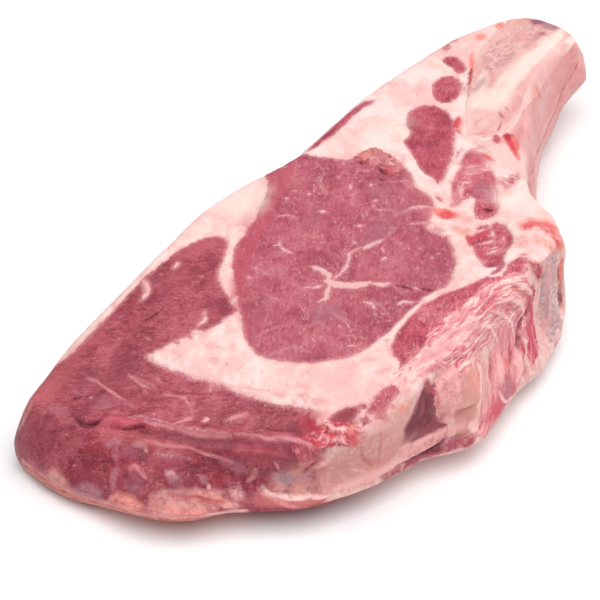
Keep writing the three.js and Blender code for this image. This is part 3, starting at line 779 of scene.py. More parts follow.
# Tones on the front corner: colours of its tissue and stains, and along its folds painted highlights on the
# ridges and painted shade in the furrows.
CORNER_TONES = (
    (Hue.TAN, 15, 0.9, (282, 484), (318, 475), (350, 460), (378, 440), (398, 420), (406, 404)),
    (Hue.TAN, 11, 0.9, (336, 484), (370, 466), (396, 448), (410, 438)),
    (Hue.SAND, 9, 0.7, (400, 415), (396, 432)),
    (Hue.SLATE, 5, 0.8, (277, 476), (291, 478)),
    (Hue.ASH, 3.4, 0.8, (280, 478), (294, 480)),
    (Hue.MAUVE, 5, 0.6, (300, 478), (315, 478)),
    (Hue.PETAL, 1.8, 0.85, (263, 486), (270, 493), (285, 496), (300, 497), (328, 496)),
    (Hue.SHELL, 3.2, 0.75, (336, 490), (362, 480), (388, 468), (412, 456), (440, 441)),
    (Hue.RUST, 3.6, 0.7, (332, 503), (352, 499), (372, 489), (388, 478)),
    (Hue.BRICK, 4.5, 0.85, (382, 477), (396, 471), (412, 463)),
    (Hue.DUSK, 3, 0.5, (414, 460), (426, 457)),
    (Hue.PINK, 4.4, 0.6, (378, 460), (393, 456)),
    (Hue.RED, 2.6, 0.6, (352, 436), (356, 443)),
    (Hue.SALMON, 4.4, 0.75, (402, 404), (405, 411)),
    (Hue.ROSE, 1.1, 0.6, (380, 428), (381, 448), (379, 462)),
    (Hue.RUST, 1.3, 0.6, (360, 448), (364, 461), (372, 467)),
    (Hue.SHELL, 0.9, 0.7, (350, 470), (368, 472)),
    (Hue.BLUSH, 6, 0.5, (396, 436), (386, 446)),
    (Hue.TAN, 6, 0.5, (340, 452), (356, 456)),
    (Hue.MAROON, 1.3, 0.85, (305, 473), (312, 467), (318, 461)),
    (Hue.SHELL, 2.4, 0.85, (318, 467), (324, 461), (329, 455)),
    (Hue.BRICK, 6, 0.6, (312, 452), (322, 456)),
    (Hue.RED, 2.6, 0.7, (316, 443), (323, 446)),
    (Hue.SHELL, 1.3, 0.9, (323, 428), (329, 426), (334, 430), (330, 433)),
    (Hue.SHELL, 1.2, 0.9, (318, 439), (322, 435), (328, 438), (326, 442)),
    (Hue.PETAL, 1.5, 0.9, (338, 430), (346, 429)),
    (Hue.SHELL, 1.3, 0.8, (332, 441), (336, 437), (342, 438), (345, 441)),
    (Hue.PETAL, 1.4, 0.85, (320, 447), (326, 447)),
    (Hue.RED, 1.8, 0.6, (329, 436), (333, 434)),
    (Hue.BLUSH, 3, 0.8, (318, 424), (324, 418), (328, 412)),
    (Hue.TAN, 3, 0.6, (313, 418), (320, 412)),
    (Hue.RUST, 4, 0.6, (350, 425), (356, 418)),
    (Hue.SALMON, 2.6, 0.7, (349, 433), (352, 428)),
    (Hue.SHELL, 4, 0.6, (390, 425), (370, 430), (360, 436)),
    (Hue.MAROON, 5, 0.6, (338, 421), (346, 418), (356, 414)),
)
CORNER_FOLDS = (
    (3.2, 0.9, (316, 443), (324, 446)),
    (2.8, 1, (326, 429), (334, 431)),
    (2.2, 0.8, (338, 430), (346, 429)),
    (2.6, 0.7, (333, 438), (345, 439)),
    (1.6, -0.8, (329, 437), (334, 434)),
    (1.8, -0.8, (322, 451), (330, 449)),
    (1.6, -0.7, (305, 473), (312, 467), (318, 461)),
    (2.4, 0.7, (318, 467), (324, 461), (329, 455)),
    (2.6, 0.7, (352, 436), (356, 443)),
    (2.2, -0.6, (358, 446), (364, 461), (374, 468)),
    (3, 0.6, (336, 490), (362, 480), (388, 468), (412, 456), (440, 441)),
    (2, 0.5, (263, 486), (285, 496), (328, 496)),
)
CORNER_LEAN = (
    (4.2, 1, (363, 421), (367, 422)),
    (5, 1, (378, 417), (384, 411)),
    (2.4, 0.9, (392, 405), (395, 411)),
    (2.4, 0.9, (361, 405), (366, 409)),
)
RIB_LEAN = (
    (8, 1, (428, 386), (427, 398), (423, 410)),
    (11, 1, (422, 412), (416, 424), (411, 432)),
    (6, 1, (410, 434), (407, 442)),
    (6, 1, (432, 424), (442, 418)),
)
# Tones on the rib side: colours of its tissue and stains, and along its folds painted highlights on the
# ridges and painted shade in the furrows and the deep pit.
RIB_TONES = (
    (Hue.WINE, 8, 0.85, (427, 394), (424, 408), (416, 424), (409, 438)),
    (Hue.BRICK, 2.4, 0.8, (421, 398), (417, 408), (411, 420)),
    (Hue.BRICK, 1.6, 0.7, (426, 398), (425, 410), (421, 420)),
    (Hue.ROSE, 1.6, 0.8, (432, 386), (436, 396), (436, 408)),
    (Hue.BRICK, 5, 0.7, (440, 415), (432, 428), (420, 436)),
    (Hue.RUST, 3, 0.6, (430, 385), (431, 392)),
    (Hue.TAN, 12, 0.3, (446, 384), (444, 398), (450, 412)),
    (Hue.TAN, 11, 0.8, (462, 376), (465, 388), (461, 398)),
    (Hue.SALMON, 8, 0.6, (464, 376), (466, 388)),
    (Hue.SALMON, 5, 0.7, (468, 371), (470, 384)),
    (Hue.SAND, 4, 0.6, (456, 402), (464, 400)),
    (Hue.RUST, 1.5, 0.85, (452, 410), (462, 408), (471, 401)),
    (Hue.PETAL, 1.3, 0.85, (474, 364), (478, 387), (474, 403), (473, 423)),
    (Hue.RUST, 1.1, 0.7, (477, 362), (481, 385), (477, 405), (476, 420)),
    (Hue.SAND, 6, 0.7, (484, 366), (487, 388), (482, 408)),
    (Hue.SHELL, 3, 0.7, (487, 368), (490, 384)),
    (Hue.PINK, 5, 0.5, (458, 416), (466, 420)),
    (Hue.TAN, 6, 0.6, (452, 424), (464, 418), (474, 410)),
    (Hue.PETAL, 3, 0.7, (470, 424), (478, 430)),
    (Hue.BLUSH, 4, 0.8, (402, 454), (424, 442), (446, 430), (462, 424)),
    (Hue.SHELL, 1.6, 0.7, (400, 450), (424, 438), (446, 426)),
    (Hue.BRICK, 4.4, 0.85, (384, 479), (410, 466), (436, 454), (452, 450)),
    (Hue.BRICK, 6, 0.9, (446, 446), (460, 444), (474, 439)),
    (Hue.CRIMSON, 7, 0.9, (489, 418), (495, 410), (503, 403)),
    (Hue.DUSK, 8, 0.95, (500, 388), (511, 391)),
    (Hue.PETAL, 1.3, 0.9, (497, 390), (500, 399), (507, 402), (524, 383)),
    (Hue.SHELL, 5, 0.8, (515, 352), (518, 366), (515, 379)),
    (Hue.SHELL, 4.4, 0.8, (496, 356), (498, 370), (496, 382)),
    (Hue.DUSK, 2.4, 0.5, (506, 376), (509, 384)),
    (Hue.CORAL, 3, 0.85, (504, 361), (504, 371)),
    (Hue.RUST, 1.3, 0.8, (491, 352), (490, 368), (491, 382)),
    (Hue.RUST, 1.3, 0.8, (509, 348), (510, 362), (508, 378)),
    (Hue.MAROON, 2, 0.9, (534, 286), (532, 300), (528, 311), (522, 321), (516, 333)),
    (Hue.MAROON, 5, 0.95, (518, 338), (520, 346)),
    (Hue.CARMINE, 3, 0.7, (523, 346), (526, 352)),
    (Hue.CRIMSON, 4, 0.6, (530, 330), (533, 345), (532, 360)),
    (Hue.PETAL, 1.2, 0.8, (524, 334), (527, 352), (525, 368)),
    (Hue.ROSE, 4, 0.6, (522, 364), (526, 376)),
    (Hue.BLUSH, 2, 0.7, (530, 352), (531, 366), (524, 380)),
    (Hue.PETAL, 1.7, 0.8, (492, 287), (508, 282), (524, 285), (533, 296)),
    (Hue.SALMON, 1.3, 0.7, (498, 293), (514, 290), (525, 295), (530, 306)),
    (Hue.PETAL, 1.4, 0.8, (495, 300), (511, 298), (521, 304), (526, 318)),
    (Hue.PINK, 1.3, 0.7, (498, 308), (510, 306), (517, 312), (520, 324)),
    (Hue.PETAL, 1.4, 0.7, (490, 312), (503, 314), (511, 322), (514, 336)),
    (Hue.PINK, 1.4, 0.7, (484, 318), (498, 320), (505, 330), (508, 342)),
    (Hue.PETAL, 1.6, 0.7, (478, 324), (492, 328), (499, 340)),
    (Hue.PINK, 1.4, 0.6, (470, 330), (486, 334), (492, 344)),
    (Hue.PINK, 2.4, 0.6, (440, 342), (462, 330), (482, 322)),
    (Hue.PINK, 3, 0.6, (414, 366), (436, 352), (456, 344)),
    (Hue.PINK, 2.4, 0.5, (420, 376), (442, 362)),
    (Hue.ROSE, 2, 0.6, (426, 372), (440, 366)),
    (Hue.PETAL, 4, 0.6, (540, 258), (544, 250)),
    (Hue.BLUSH, 4, 0.6, (535, 262), (545, 270)),
    (Hue.BLUSH, 5, 0.5, (549, 262), (550, 290), (548, 320), (545, 345)),
    (Hue.ASH, 3, 0.6, (549, 290), (547, 318)),
    (Hue.SHELL, 1.4, 0.7, (539, 262), (537, 300), (539, 345)),
    (Hue.SHELL, 4.4, 0.8, (571, 262), (570, 285), (567, 306)),
    (Hue.RUST, 3.8, 0.95, (563, 262), (563, 280), (562, 294)),
    (Hue.MAROON, 3.2, 0.95, (562, 292), (560, 308)),
    (Hue.CORAL, 2.2, 0.8, (561, 256), (564, 270), (564, 282)),
    (Hue.ROSE, 3, 0.6, (566, 325), (556, 345)),
)
RIB_FOLDS = (
    (7, 2.4, (571, 258), (571, 280), (567, 304)),
    (4, -1.6, (563, 262), (562, 285), (560, 308)),
    (5, 0.8, (515, 352), (518, 366), (515, 379)),
    (4.4, 0.8, (496, 356), (498, 370), (496, 382)),
    (8, 0.8, (500, 388), (511, 391)),
    (7, 0.6, (489, 418), (495, 410), (503, 403)),
    (1.6, -0.5, (490, 352), (490, 368), (491, 382)),
    (1.6, -0.5, (509, 348), (510, 362), (508, 378)),
    (2.4, -0.9, (534, 286), (532, 300), (528, 311), (522, 321), (516, 333)),
    (5, -2.0, (518, 338), (520, 346)),
    (2, 0.45, (492, 287), (508, 282), (524, 285), (533, 296)),
    (1.8, 0.4, (495, 300), (511, 298), (521, 304), (526, 318)),
    (1.8, 0.4, (490, 312), (503, 314), (511, 322), (514, 336)),
    (1.6, -0.5, (498, 293), (514, 290), (525, 295), (530, 306)),
    (1.6, -0.5, (498, 308), (510, 306), (517, 312), (520, 324)),
    (22, 3.0, (448, 396), (457, 384), (464, 373)),
    (12, 1.6, (463, 376), (465, 388), (462, 398)),
    (3, -1.0, (432, 392), (437, 378), (448, 365), (462, 360)),
    (2, -1.2, (438, 412), (447, 417), (460, 411), (472, 402)),
    (1.8, -0.8, (472, 366), (474, 384), (471, 400)),
    (1.8, 0.7, (475, 364), (479, 387), (475, 403), (474, 423)),
    (6, -0.8, (427, 394), (424, 408), (416, 424), (409, 438)),
    (4, 0.8, (402, 454), (424, 442), (446, 430), (462, 424)),
    (2, -0.8, (396, 468), (424, 454), (444, 442), (470, 432)),
    (2, 0.4, (529, 334), (532, 352)),
    (1.6, 0.6, (539, 262), (537, 300), (539, 345)),
    (3, 1, (529, 226), (540, 228), (550, 236)),
)
# Tones on the bone's flank: colours of its skin and stains, and along its folds painted highlights on the
# ridges and painted shade in the furrows.
FLANK_TONES = (
    (Hue.CORAL, 3.4, 0.75, (541, 74), (538, 86), (534, 97)),
    (Hue.RED, 1.3, 0.8, (536, 84), (538, 91), (541, 99)),
    (Hue.ROSE, 1.5, 0.8, (577, 62), (570, 79), (562, 92)),
    (Hue.ROSE, 1.4, 0.8, (562, 92), (555, 113), (545, 135), (538, 153), (531, 174)),
    (Hue.PEACH, 4.4, 0.7, (583, 76), (576, 87), (568, 96)),
    (Hue.BLUSH, 2.4, 0.7, (565, 104), (555, 124), (545, 144), (538, 164)),
    (Hue.SLATE, 2.2, 0.8, (583, 85), (577, 91)),
    (Hue.GREY, 6, 0.4, (549, 68), (545, 94), (540, 116)),
    (Hue.SALMON, 3, 0.5, (560, 84), (554, 102), (545, 122)),
    (Hue.SHELL, 6, 0.5, (572, 42), (576, 60)),
    (Hue.SHELL, 3, 0.5, (574, 70), (566, 88)),
    (Hue.SALMON, 2.2, 0.5, (536, 130), (531, 150), (527, 168)),
    (Hue.GREY, 6, 0.45, (524, 140), (528, 160)),
    (Hue.BLUSH, 3, 0.6, (551, 90), (545, 108)),
    (Hue.SHELL, 7, 0.4, (530, 105), (524, 125)),
)
FLANK_FOLDS = (
    (12, 1.6, (579, 72), (580, 82)),
    (7, 1.6, (568, 32), (571, 42), (574, 52)),
    (1.8, -0.5, (577, 62), (570, 79), (562, 92), (555, 113), (545, 135), (538, 153), (531, 174)),
    (2.6, 0.6, (580, 68), (572, 84), (565, 98), (556, 120), (546, 142)),
    (1.6, -0.5, (536, 84), (538, 91), (541, 99)),
    (2.2, 0.5, (545, 76), (548, 90), (545, 104)),
)


# Marks at the bone's root, at the stain on the shoulder and at the eye's far end, on the upper side.
JOINT_TONES = (
    (Hue.PETAL, 14, 1, (484, 152), (500, 158), (514, 166)),
    (Hue.PETAL, 8, 0.95, (508, 146), (518, 164), (526, 180)),
    (Hue.PETAL, 5, 0.8, (467, 104), (467, 130), (474, 141), (490, 142), (506, 132), (518, 118)),
    (Hue.SHELL, 6, 0.9, (530, 94), (540, 76), (552, 60), (564, 46), (573, 36)),
    (Hue.IVORY, 5, 0.8, (500, 100), (512, 84), (526, 68), (542, 52), (560, 36), (570, 28)),
    (Hue.PETAL, 4, 0.7, (478, 118), (492, 128), (503, 126)),
    (Hue.IVORY, 11, 0.8, (478, 106), (490, 102), (504, 92)),
    (Hue.IVORY, 20, 0.75, (502, 196), (518, 204), (530, 214)),
    (Hue.IVORY, 16, 0.6, (226, 210), (244, 200), (262, 190)),
    (Hue.IVORY, 16, 0.4, (368, 140), (386, 128), (402, 120)),
    (Hue.BLUSH, 3, 0.6, (484, 132), (498, 122), (508, 112)),
    (Hue.ROSE, 1.4, 0.8, (499, 112), (503, 118)),
    (Hue.ROSE, 1.2, 0.7, (505, 106), (508, 111)),
    (Hue.ROSE, 1.3, 0.7, (501, 124), (498, 131)),
    (Hue.PINK, 1.3, 0.7, (476, 124), (482, 119)),
    (Hue.PINK, 1.2, 0.7, (473, 134), (485, 133)),
    (Hue.RED, 4.4, 1, (506, 134), (510, 140)),
    (Hue.RED, 3.8, 1, (510, 140), (516, 152)),
    (Hue.RED, 2, 0.7, (516, 152), (520, 160)),
    (Hue.CARMINE, 2.6, 0.8, (506, 134), (509, 140)),
    (Hue.CORAL, 1.1, 0.7, (511, 137), (517, 149)),
    (Hue.CRIMSON, 3, 1, (496, 136), (496, 143)),
    (Hue.ROSE, 7, 0.7, (500, 186), (507, 183), (514, 180)),
    (Hue.ROSE, 5, 0.6, (512, 178), (516, 175)),
    (Hue.BLUSH, 6, 0.5, (497, 194), (510, 190)),
    (Hue.DUSK, 8, 0.6, (482, 180), (486, 198)),
    (Hue.CRIMSON, 5, 0.6, (468, 164), (480, 156), (492, 160)),
    (Hue.RED, 2.4, 0.7, (484, 155), (490, 160)),
    (Hue.PLUM, 4, 0.9, (533, 19), (541, 23)),
    (Hue.MAUVE, 5, 0.85, (544, 25), (556, 29)),
    (Hue.DUSK, 3, 0.6, (538, 34), (546, 36)),
    (Hue.BLUSH, 5, 0.6, (520, 36), (535, 46)),
    (Hue.CORAL, 3.4, 0.8, (527, 19), (531, 17)),
    (Hue.CORAL, 9, 0.95, (524, 226), (536, 224), (548, 228), (556, 238), (559, 248)),
    (Hue.RED, 8, 0.75, (527, 228), (538, 226), (549, 231), (556, 241)),
    (Hue.SALMON, 5, 0.8, (536, 240), (546, 244), (552, 252)),
    (Hue.SHELL, 2.4, 0.8, (534, 235), (544, 237)),
    (Hue.PEACH, 5, 0.8, (560, 236), (566, 248), (569, 258)),
    (Hue.SALMON, 5, 0.6, (520, 236), (524, 246)),
    (Hue.CARMINE, 5, 0.85, (530, 262), (537, 270), (540, 278)),
    (Hue.SALMON, 2.4, 0.8, (369, 151), (375, 150)),
    (Hue.RUST, 2.4, 0.9, (363, 162), (368, 163)),
    (Hue.MAROON, 1.6, 0.9, (376, 166), (380, 168)),
    (Hue.CRIMSON, 4, 0.7, (386, 168), (393, 173)),
    (Hue.PETAL, 1.3, 0.9, (372, 158)),
    (Hue.PETAL, 1.3, 0.9, (379, 161)),
    (Hue.RUST, 1.5, 0.9, (383, 163), (384, 166)),
    (Hue.PETAL, 1.2, 0.9, (391, 163), (393, 166)),
    (Hue.RED, 5, 1, (441, 215), (450, 214)),
    (Hue.CORAL, 3.4, 0.8, (434, 211), (456, 215)),
    (Hue.RED, 3.2, 0.9, (442, 214), (451, 214)),
    (Hue.PEACH, 2, 0.8, (452, 229), (462, 231), (470, 236)),
    (Hue.RED, 1.8, 0.8, (468, 236), (472, 242)),
)
JOINT_STREAKS = (
    (1.2, 0.8, (463, 161), (476, 158), (493, 163)),
    (1.4, 0.85, (461, 172), (478, 170), (496, 172)),
    (1.1, 0.8, (468, 151), (478, 148), (488, 149)),
    (1.2, 0.8, (456, 184), (462, 190), (468, 186)),
    (1.2, 0.8, (453, 192), (460, 198), (467, 196)),
    (1.1, 0.7, (476, 192), (484, 190), (490, 194)),
    (1, 0.7, (478, 200), (486, 203)),
)
JOINT_CUTS = (
    (1.3, 1, (519, 169), (524, 178), (531, 188)),
    (2.6, 1, (360, 163), (366, 162)),
    (2.6, 1, (379, 169), (387, 173)),
    (1.6, 0.9, (378, 178), (384, 181)),
    (1.2, 0.8, (404, 176), (412, 180)),
)


# Leaves of tissue on the walls: three colours, width of the band, thickness of a leaf, how many times longer
# than thick, relief, the line that they follow and the middle of the band, both in pixels.
LEAVES = (
    (
        (Hue.PETAL, Hue.PINK, Hue.CRIMSON), 19, 1.1, 6, 0.3,
        (
            (440, 345), (470, 322), (498, 294), (518, 285), (532, 288), (531, 302), (526, 314), (518, 330),
            (510, 352),
        ),
        ((452, 348), (478, 326), (500, 306), (514, 299), (520, 311), (514, 332), (508, 352)),
    ),
    (
        (Hue.PETAL, Hue.SHELL, Hue.PINK), 8, 1.4, 2.6, 0.35,
        ((352, 412), (400, 372), (428, 348), (456, 326), (480, 306)),
        ((404, 380), (426, 361), (452, 341), (474, 322)),
    ),
    (
        (Hue.PINK, Hue.CRIMSON, Hue.CARMINE), 8, 1.0, 8, 0.3,
        ((543, 262), (537, 300), (538, 330), (541, 352)),
        ((532, 298), (531, 328), (533, 352)),
    ),
    (
        (Hue.BLUSH, Hue.PINK, Hue.CRIMSON), 20, 1.5, 4, 0.35,
        ((484, 350), (486, 380), (480, 430)),
        ((510, 350), (504, 380), (490, 412)),
    ),
    (
        (Hue.SHELL, Hue.BLUSH, Hue.PINK), 10, 1.2, 1.5, 0.4,
        ((434, 372), (440, 410)),
        ((447, 375), (442, 392), (445, 409)),
    ),
    (
        (Hue.PETAL, Hue.BLUSH, Hue.ROSE), 7, 1.3, 8, 0.3,
        ((478, 362), (480, 395), (474, 430)),
        ((478, 366), (481, 390), (476, 424)),
    ),
    (
        (Hue.BLUSH, Hue.CRIMSON, Hue.CARMINE), 9, 1.1, 1.4, 0.6,
        ((300, 452), (318, 420), (340, 410), (360, 420)),
        ((316, 444), (330, 434), (344, 434), (354, 438)),
    ),
    (
        (Hue.PINK, Hue.CRIMSON, Hue.MAROON), 8, 1.2, 3, 0.4,
        ((296, 446), (300, 470)),
        ((304, 448), (309, 460), (318, 466)),
    ),
    (
        (Hue.SALMON, Hue.BRICK, Hue.MAROON), 8, 1.0, 1.3, 0.5,
        ((358, 160), (372, 150), (390, 158)),
        ((364, 158), (374, 154), (386, 160), (390, 168)),
    ),
)


def lines(
    mark: Mark, rows: tuple, height: float = 0.0, seen: bool = False, weight: float = 1.0
) -> list[Stroke]:
    """Strokes of one kind, with their relief, and what their strengths are multiplied by."""
    return [Stroke(mark, width, points, share * weight, height, seen=seen) for width, share, *points in rows]


def tones(rows: tuple, seen: bool = False, light: float = 1.0) -> list[Stroke]:
    """Tones from rows of colour, width, share and points, and how bright the light is there; on the walls
    some are painted highlights and painted shade.
    """
    return [
        Stroke(Mark.PATCH, width, points, share, hue=hue, seen=seen, light=light)
        for hue, width, share, *points in rows
    ]


def folds(rows: tuple) -> list[Stroke]:
    """Ridges and furrows on the walls from rows of width, relief and points."""
    return [Stroke(Mark.FOLD, width, points, height=height, seen=True) for width, height, *points in rows]


def all_strokes() -> list[Stroke]:
    """Every mark on the chop, in the order in which they are drawn."""
    return [
        *lines(Mark.STREAK, EYE_STREAKS, 0.1),
        *lines(Mark.CUT, EYE_CUTS, -0.15),
        *lines(Mark.STREAK, CAP_STREAKS, 0.22, weight=0.72),
        *lines(Mark.CUT, CAP_CUTS, -0.2),
        *tones(EYE_TONES),
        *tones(CAP_TONES),
        *lines(Mark.FAT, CAP_FAT),
        *lines(Mark.LEAN, CAP_LEAN),
        *tones(BONE_TONES),
        *lines(Mark.PORE, BONE_PORES),
        *tones(TAIL_TONES, True, WALL_SHARE),
        *lines(Mark.CUT, TAIL_CUTS, -0.6, True),
        *folds(TAIL_FOLDS),
        *tones(CORNER_TONES, True, WALL_SHARE),
        *folds(CORNER_FOLDS),
        *lines(Mark.LEAN, CORNER_LEAN, seen=True),
        *lines(Mark.LEAN, RIB_LEAN, seen=True),
        *tones(RIB_TONES, True, WALL_SHARE),
        *folds(RIB_FOLDS),
        *tones(FLANK_TONES, True),
        *folds(FLANK_FOLDS),
        *tones(JOINT_TONES, True),
        *lines(Mark.STREAK, JOINT_STREAKS, 0.2, True),
        *lines(Mark.CUT, JOINT_CUTS, -0.3, True),
    ]


# Material nodes


# Numbers of the Mix node's sockets: the two values and their mix, and the two colours and theirs.
MIX_VALUES = (2, 3, 0)
MIX_COLOURS = (6, 7, 2)

PER_METRE = 1000
SPECULAR = 0.16
FILM_ROUGHNESS = 0.25


class Sheet:
    """The node tree of one material, with short ways to add and join its nodes."""

    def __init__(self, name: str) -> None:
        """Starts the material.

        Args:
            name: the material's name.
        """
        self.material = bpy.data.materials.new(name)
        self.material.use_nodes = True
        self.nodes = self.material.node_tree.nodes
        self.links = self.material.node_tree.links
        self.shader = self.nodes["Principled BSDF"]
        self.place = self.nodes.new("ShaderNodeTexCoord").outputs["Object"]

    def feed(self, socket: Socket, value: object) -> None:
        """Joins an output to a socket, or sets the socket to a number or colour."""
        if isinstance(value, Socket):
            self.links.new(value, socket)
        else:
            socket.default_value = value

    def node(self, kind: str, **inputs: object) -> bpy.types.Node:
        """Adds a node and feeds its inputs."""
        node = self.nodes.new(f"ShaderNode{kind}")
        for name, value in inputs.items():
            self.feed(node.inputs[name], value)
        return node

    def attribute(self, name: str, colour: bool = False) -> Socket:
        """Reads one of the piece's own attributes."""
        node = self.nodes.new("ShaderNodeAttribute")
        node.attribute_name = name
        return node.outputs["Color" if colour else "Fac"]

    def grain(self, turn: float, length: float, width: float = 1.0, height: float = 1.0) -> Socket:
        """Object coordinates turned about the upright and stretched.

        Args:
            turn: degrees from +X to the direction of the grain.
            length: scale along the grain; a low number makes long marks.
            width: scale across it.
            height: scale upwards.

        Returns:
            The mapped coordinates.
        """
        node = self.nodes.new("ShaderNodeMapping")
        node.vector_type = "TEXTURE"
        self.feed(node.inputs["Vector"], self.place)
        node.inputs["Rotation"].default_value = (0, 0, math.radians(turn))
        node.inputs["Scale"].default_value = (1 / length, 1 / width, 1 / height)
        return node.outputs["Vector"]

    def noise(
        self, size: float, detail: float = 2, rough: float = 0.5, twist: float = 0.0, place: object = None
    ) -> Socket:
        """Noise with bumps of about a size in mm.

        Args:
            size: width of the bumps in mm.
            detail: how many finer layers.
            rough: strength of the finer layers.
            twist: distortion.
            place: coordinates other than the object's own.

        Returns:
            A value of about 0.25 to 0.75.
        """
        scale = PER_METRE / size
        vector = place or self.place
        node = self.node(
            "TexNoise", Vector=vector, Scale=scale, Detail=detail, Roughness=rough, Distortion=twist
        )
        return node.outputs["Fac"]

    def cells(self, size: float, place: object = None) -> Socket:
        """Distance to the middle of the nearest cell, for pores and flecks."""
        return self.node("TexVoronoi", Vector=place or self.place, Scale=PER_METRE / size).outputs["Distance"]

    def bundles(self, size: float, place: object, sway: float) -> Socket:
        """Distance to the walls between cells, for the bundles that muscle is made of.

        Args:
            size: width of a bundle in mm.
            place: coordinates, stretched along the fibres.
            sway: how far the walls wander, as a share of the size.

        Returns:
            The distance, 0 at a wall.
        """
        wander = self.node("TexNoise", Vector=place, Scale=0.7 * PER_METRE / size, Detail=2)
        moved = self.nodes.new("ShaderNodeVectorMath")
        moved.operation = "MULTIPLY_ADD"
        for number, value in enumerate((wander.outputs["Color"], (sway * size * MM,) * 3, place)):
            self.feed(moved.inputs[number], value)
        node = self.node("TexVoronoi", Vector=moved.outputs[0], Scale=PER_METRE / size)
        node.feature = "DISTANCE_TO_EDGE"
        return node.outputs["Distance"]

    def math(self, how: str, a: object, b: object = 0.0, clamp: bool = False) -> Socket:
        """Joins two values by a sum."""
        node = self.nodes.new("ShaderNodeMath")
        node.operation = how
        node.use_clamp = clamp
        self.feed(node.inputs[0], a)
        self.feed(node.inputs[1], b)
        return node.outputs[0]

    def mix(self, kind: str, sockets: tuple[int, int, int], *values: object) -> Socket:
        """Mixes two values or colours, given after the share of the second, by the node's sockets."""
        node = self.nodes.new("ShaderNodeMix")
        node.data_type = kind
        for number, value in zip((0, *sockets[:2]), values):
            self.feed(node.inputs[number], value)
        return node.outputs[sockets[2]]

    def choose(self, share: object, a: object, b: object) -> Socket:
        """Mixes two values: a where the share is 0 and b where it is 1."""
        return self.mix("FLOAT", MIX_VALUES, share, a, b)

    def blend(self, share: object, a: object, b: object) -> Socket:
        """Mixes two colours, sockets or linear ones: a where the share is 0 and b where it is 1."""
        return self.mix("RGBA", MIX_COLOURS, share, a, b)

    def tint(
        self, colour: object, code: str, value: object, low: float, high: float, top: float = 1.0
    ) -> Socket:
        """Blends another colour in by a smooth step of a value, from none at low to the top share at high."""
        return self.blend(self.step(value, low, high, top), colour, linear(code))

    def veil(self, colour: object, code: str, a: object, b: object) -> Socket:
        """Blends another colour in where two shares are both high."""
        return self.blend(self.math("MULTIPLY", a, b), colour, linear(code))

    def uneven(self, name: str, *terms: tuple[object, float]) -> Socket:
        """Reads an attribute and makes its edges uneven by a total of noises."""
        return self.math("ADD", self.attribute(name), self.total(*terms))

    def stained_and_shaded(self, colour: object, *terms: tuple[object, float]) -> Socket:
        """Lays the piece's stains, painted highlights and painted shade over a colour, mottled by a total of
        noises.
        """
        share = self.math("MULTIPLY", self.attribute("share"), self.total(*terms), True)
        return self.blend(share, colour, self.attribute("tint", True))

    def line(self, value: object, half: float) -> Socket:
        """Thin lines where a noise crosses its middle."""
        return self.step(self.math("ABSOLUTE", self.math("SUBTRACT", value, 0.5)), half, 0.0)

    def total(self, *terms: tuple[object, float]) -> Socket:
        """Adds values, each times its weight."""
        found = None
        for value, weight in terms:
            part = self.math("MULTIPLY", value, weight)
            found = part if found is None else self.math("ADD", found, part)
        return found

    def step(self, value: object, low: float, high: float, top: float = 1.0) -> Socket:
        """Smooth step of a value from 0 at low to top at high; low may be above high."""
        node = self.nodes.new("ShaderNodeMapRange")
        node.interpolation_type = "SMOOTHSTEP"
        self.feed(node.inputs["Value"], value)
        if low < high:
            settings = (low, high, 0.0, top)
        else:
            settings = (high, low, top, 0.0)
        for name, number in zip(("From Min", "From Max", "To Min", "To Max"), settings):
            node.inputs[name].default_value = number
        return node.outputs["Result"]

    def finish(
        self, colour: object, rough: object, height: object, depth: float, strength: float
    ) -> bpy.types.Material:
        """Joins colour, roughness and bump to the shader.

        Args:
            colour: the colour socket.
            rough: the roughness socket.
            height: the bump's height socket.
            depth: the bump's depth in mm.
            strength: the bump's strength.

        Returns:
            The material.
        """
        bump = self.node("Bump", Strength=strength, Distance=depth * MM, Height=height)
        for name, value in (("Normal", bump.outputs["Normal"]), ("Base Color", colour), ("Roughness", rough)):
            self.feed(self.shader.inputs[name], value)
        return self.material

    def moist(self, gloss: float) -> None:
        """Gives the surface a thin wet film of this weight."""
        self.shader.inputs["Specular IOR Level"].default_value = SPECULAR
        self.shader.inputs["Coat Weight"].default_value = gloss
        self.shader.inputs["Coat Roughness"].default_value = FILM_ROUGHNESS


# Finishes


@dataclass(frozen=True)
class Lean:
    """Colours and fibre of one kind of lean meat."""

    name: str
    dark: str
    mid: str
    light: str
    deep: str
    turn: float = 0.0
    fibre: float = 1.0
    flecks: float = 1.0
    veins: float = 1.0
    cracks: float = 0.5


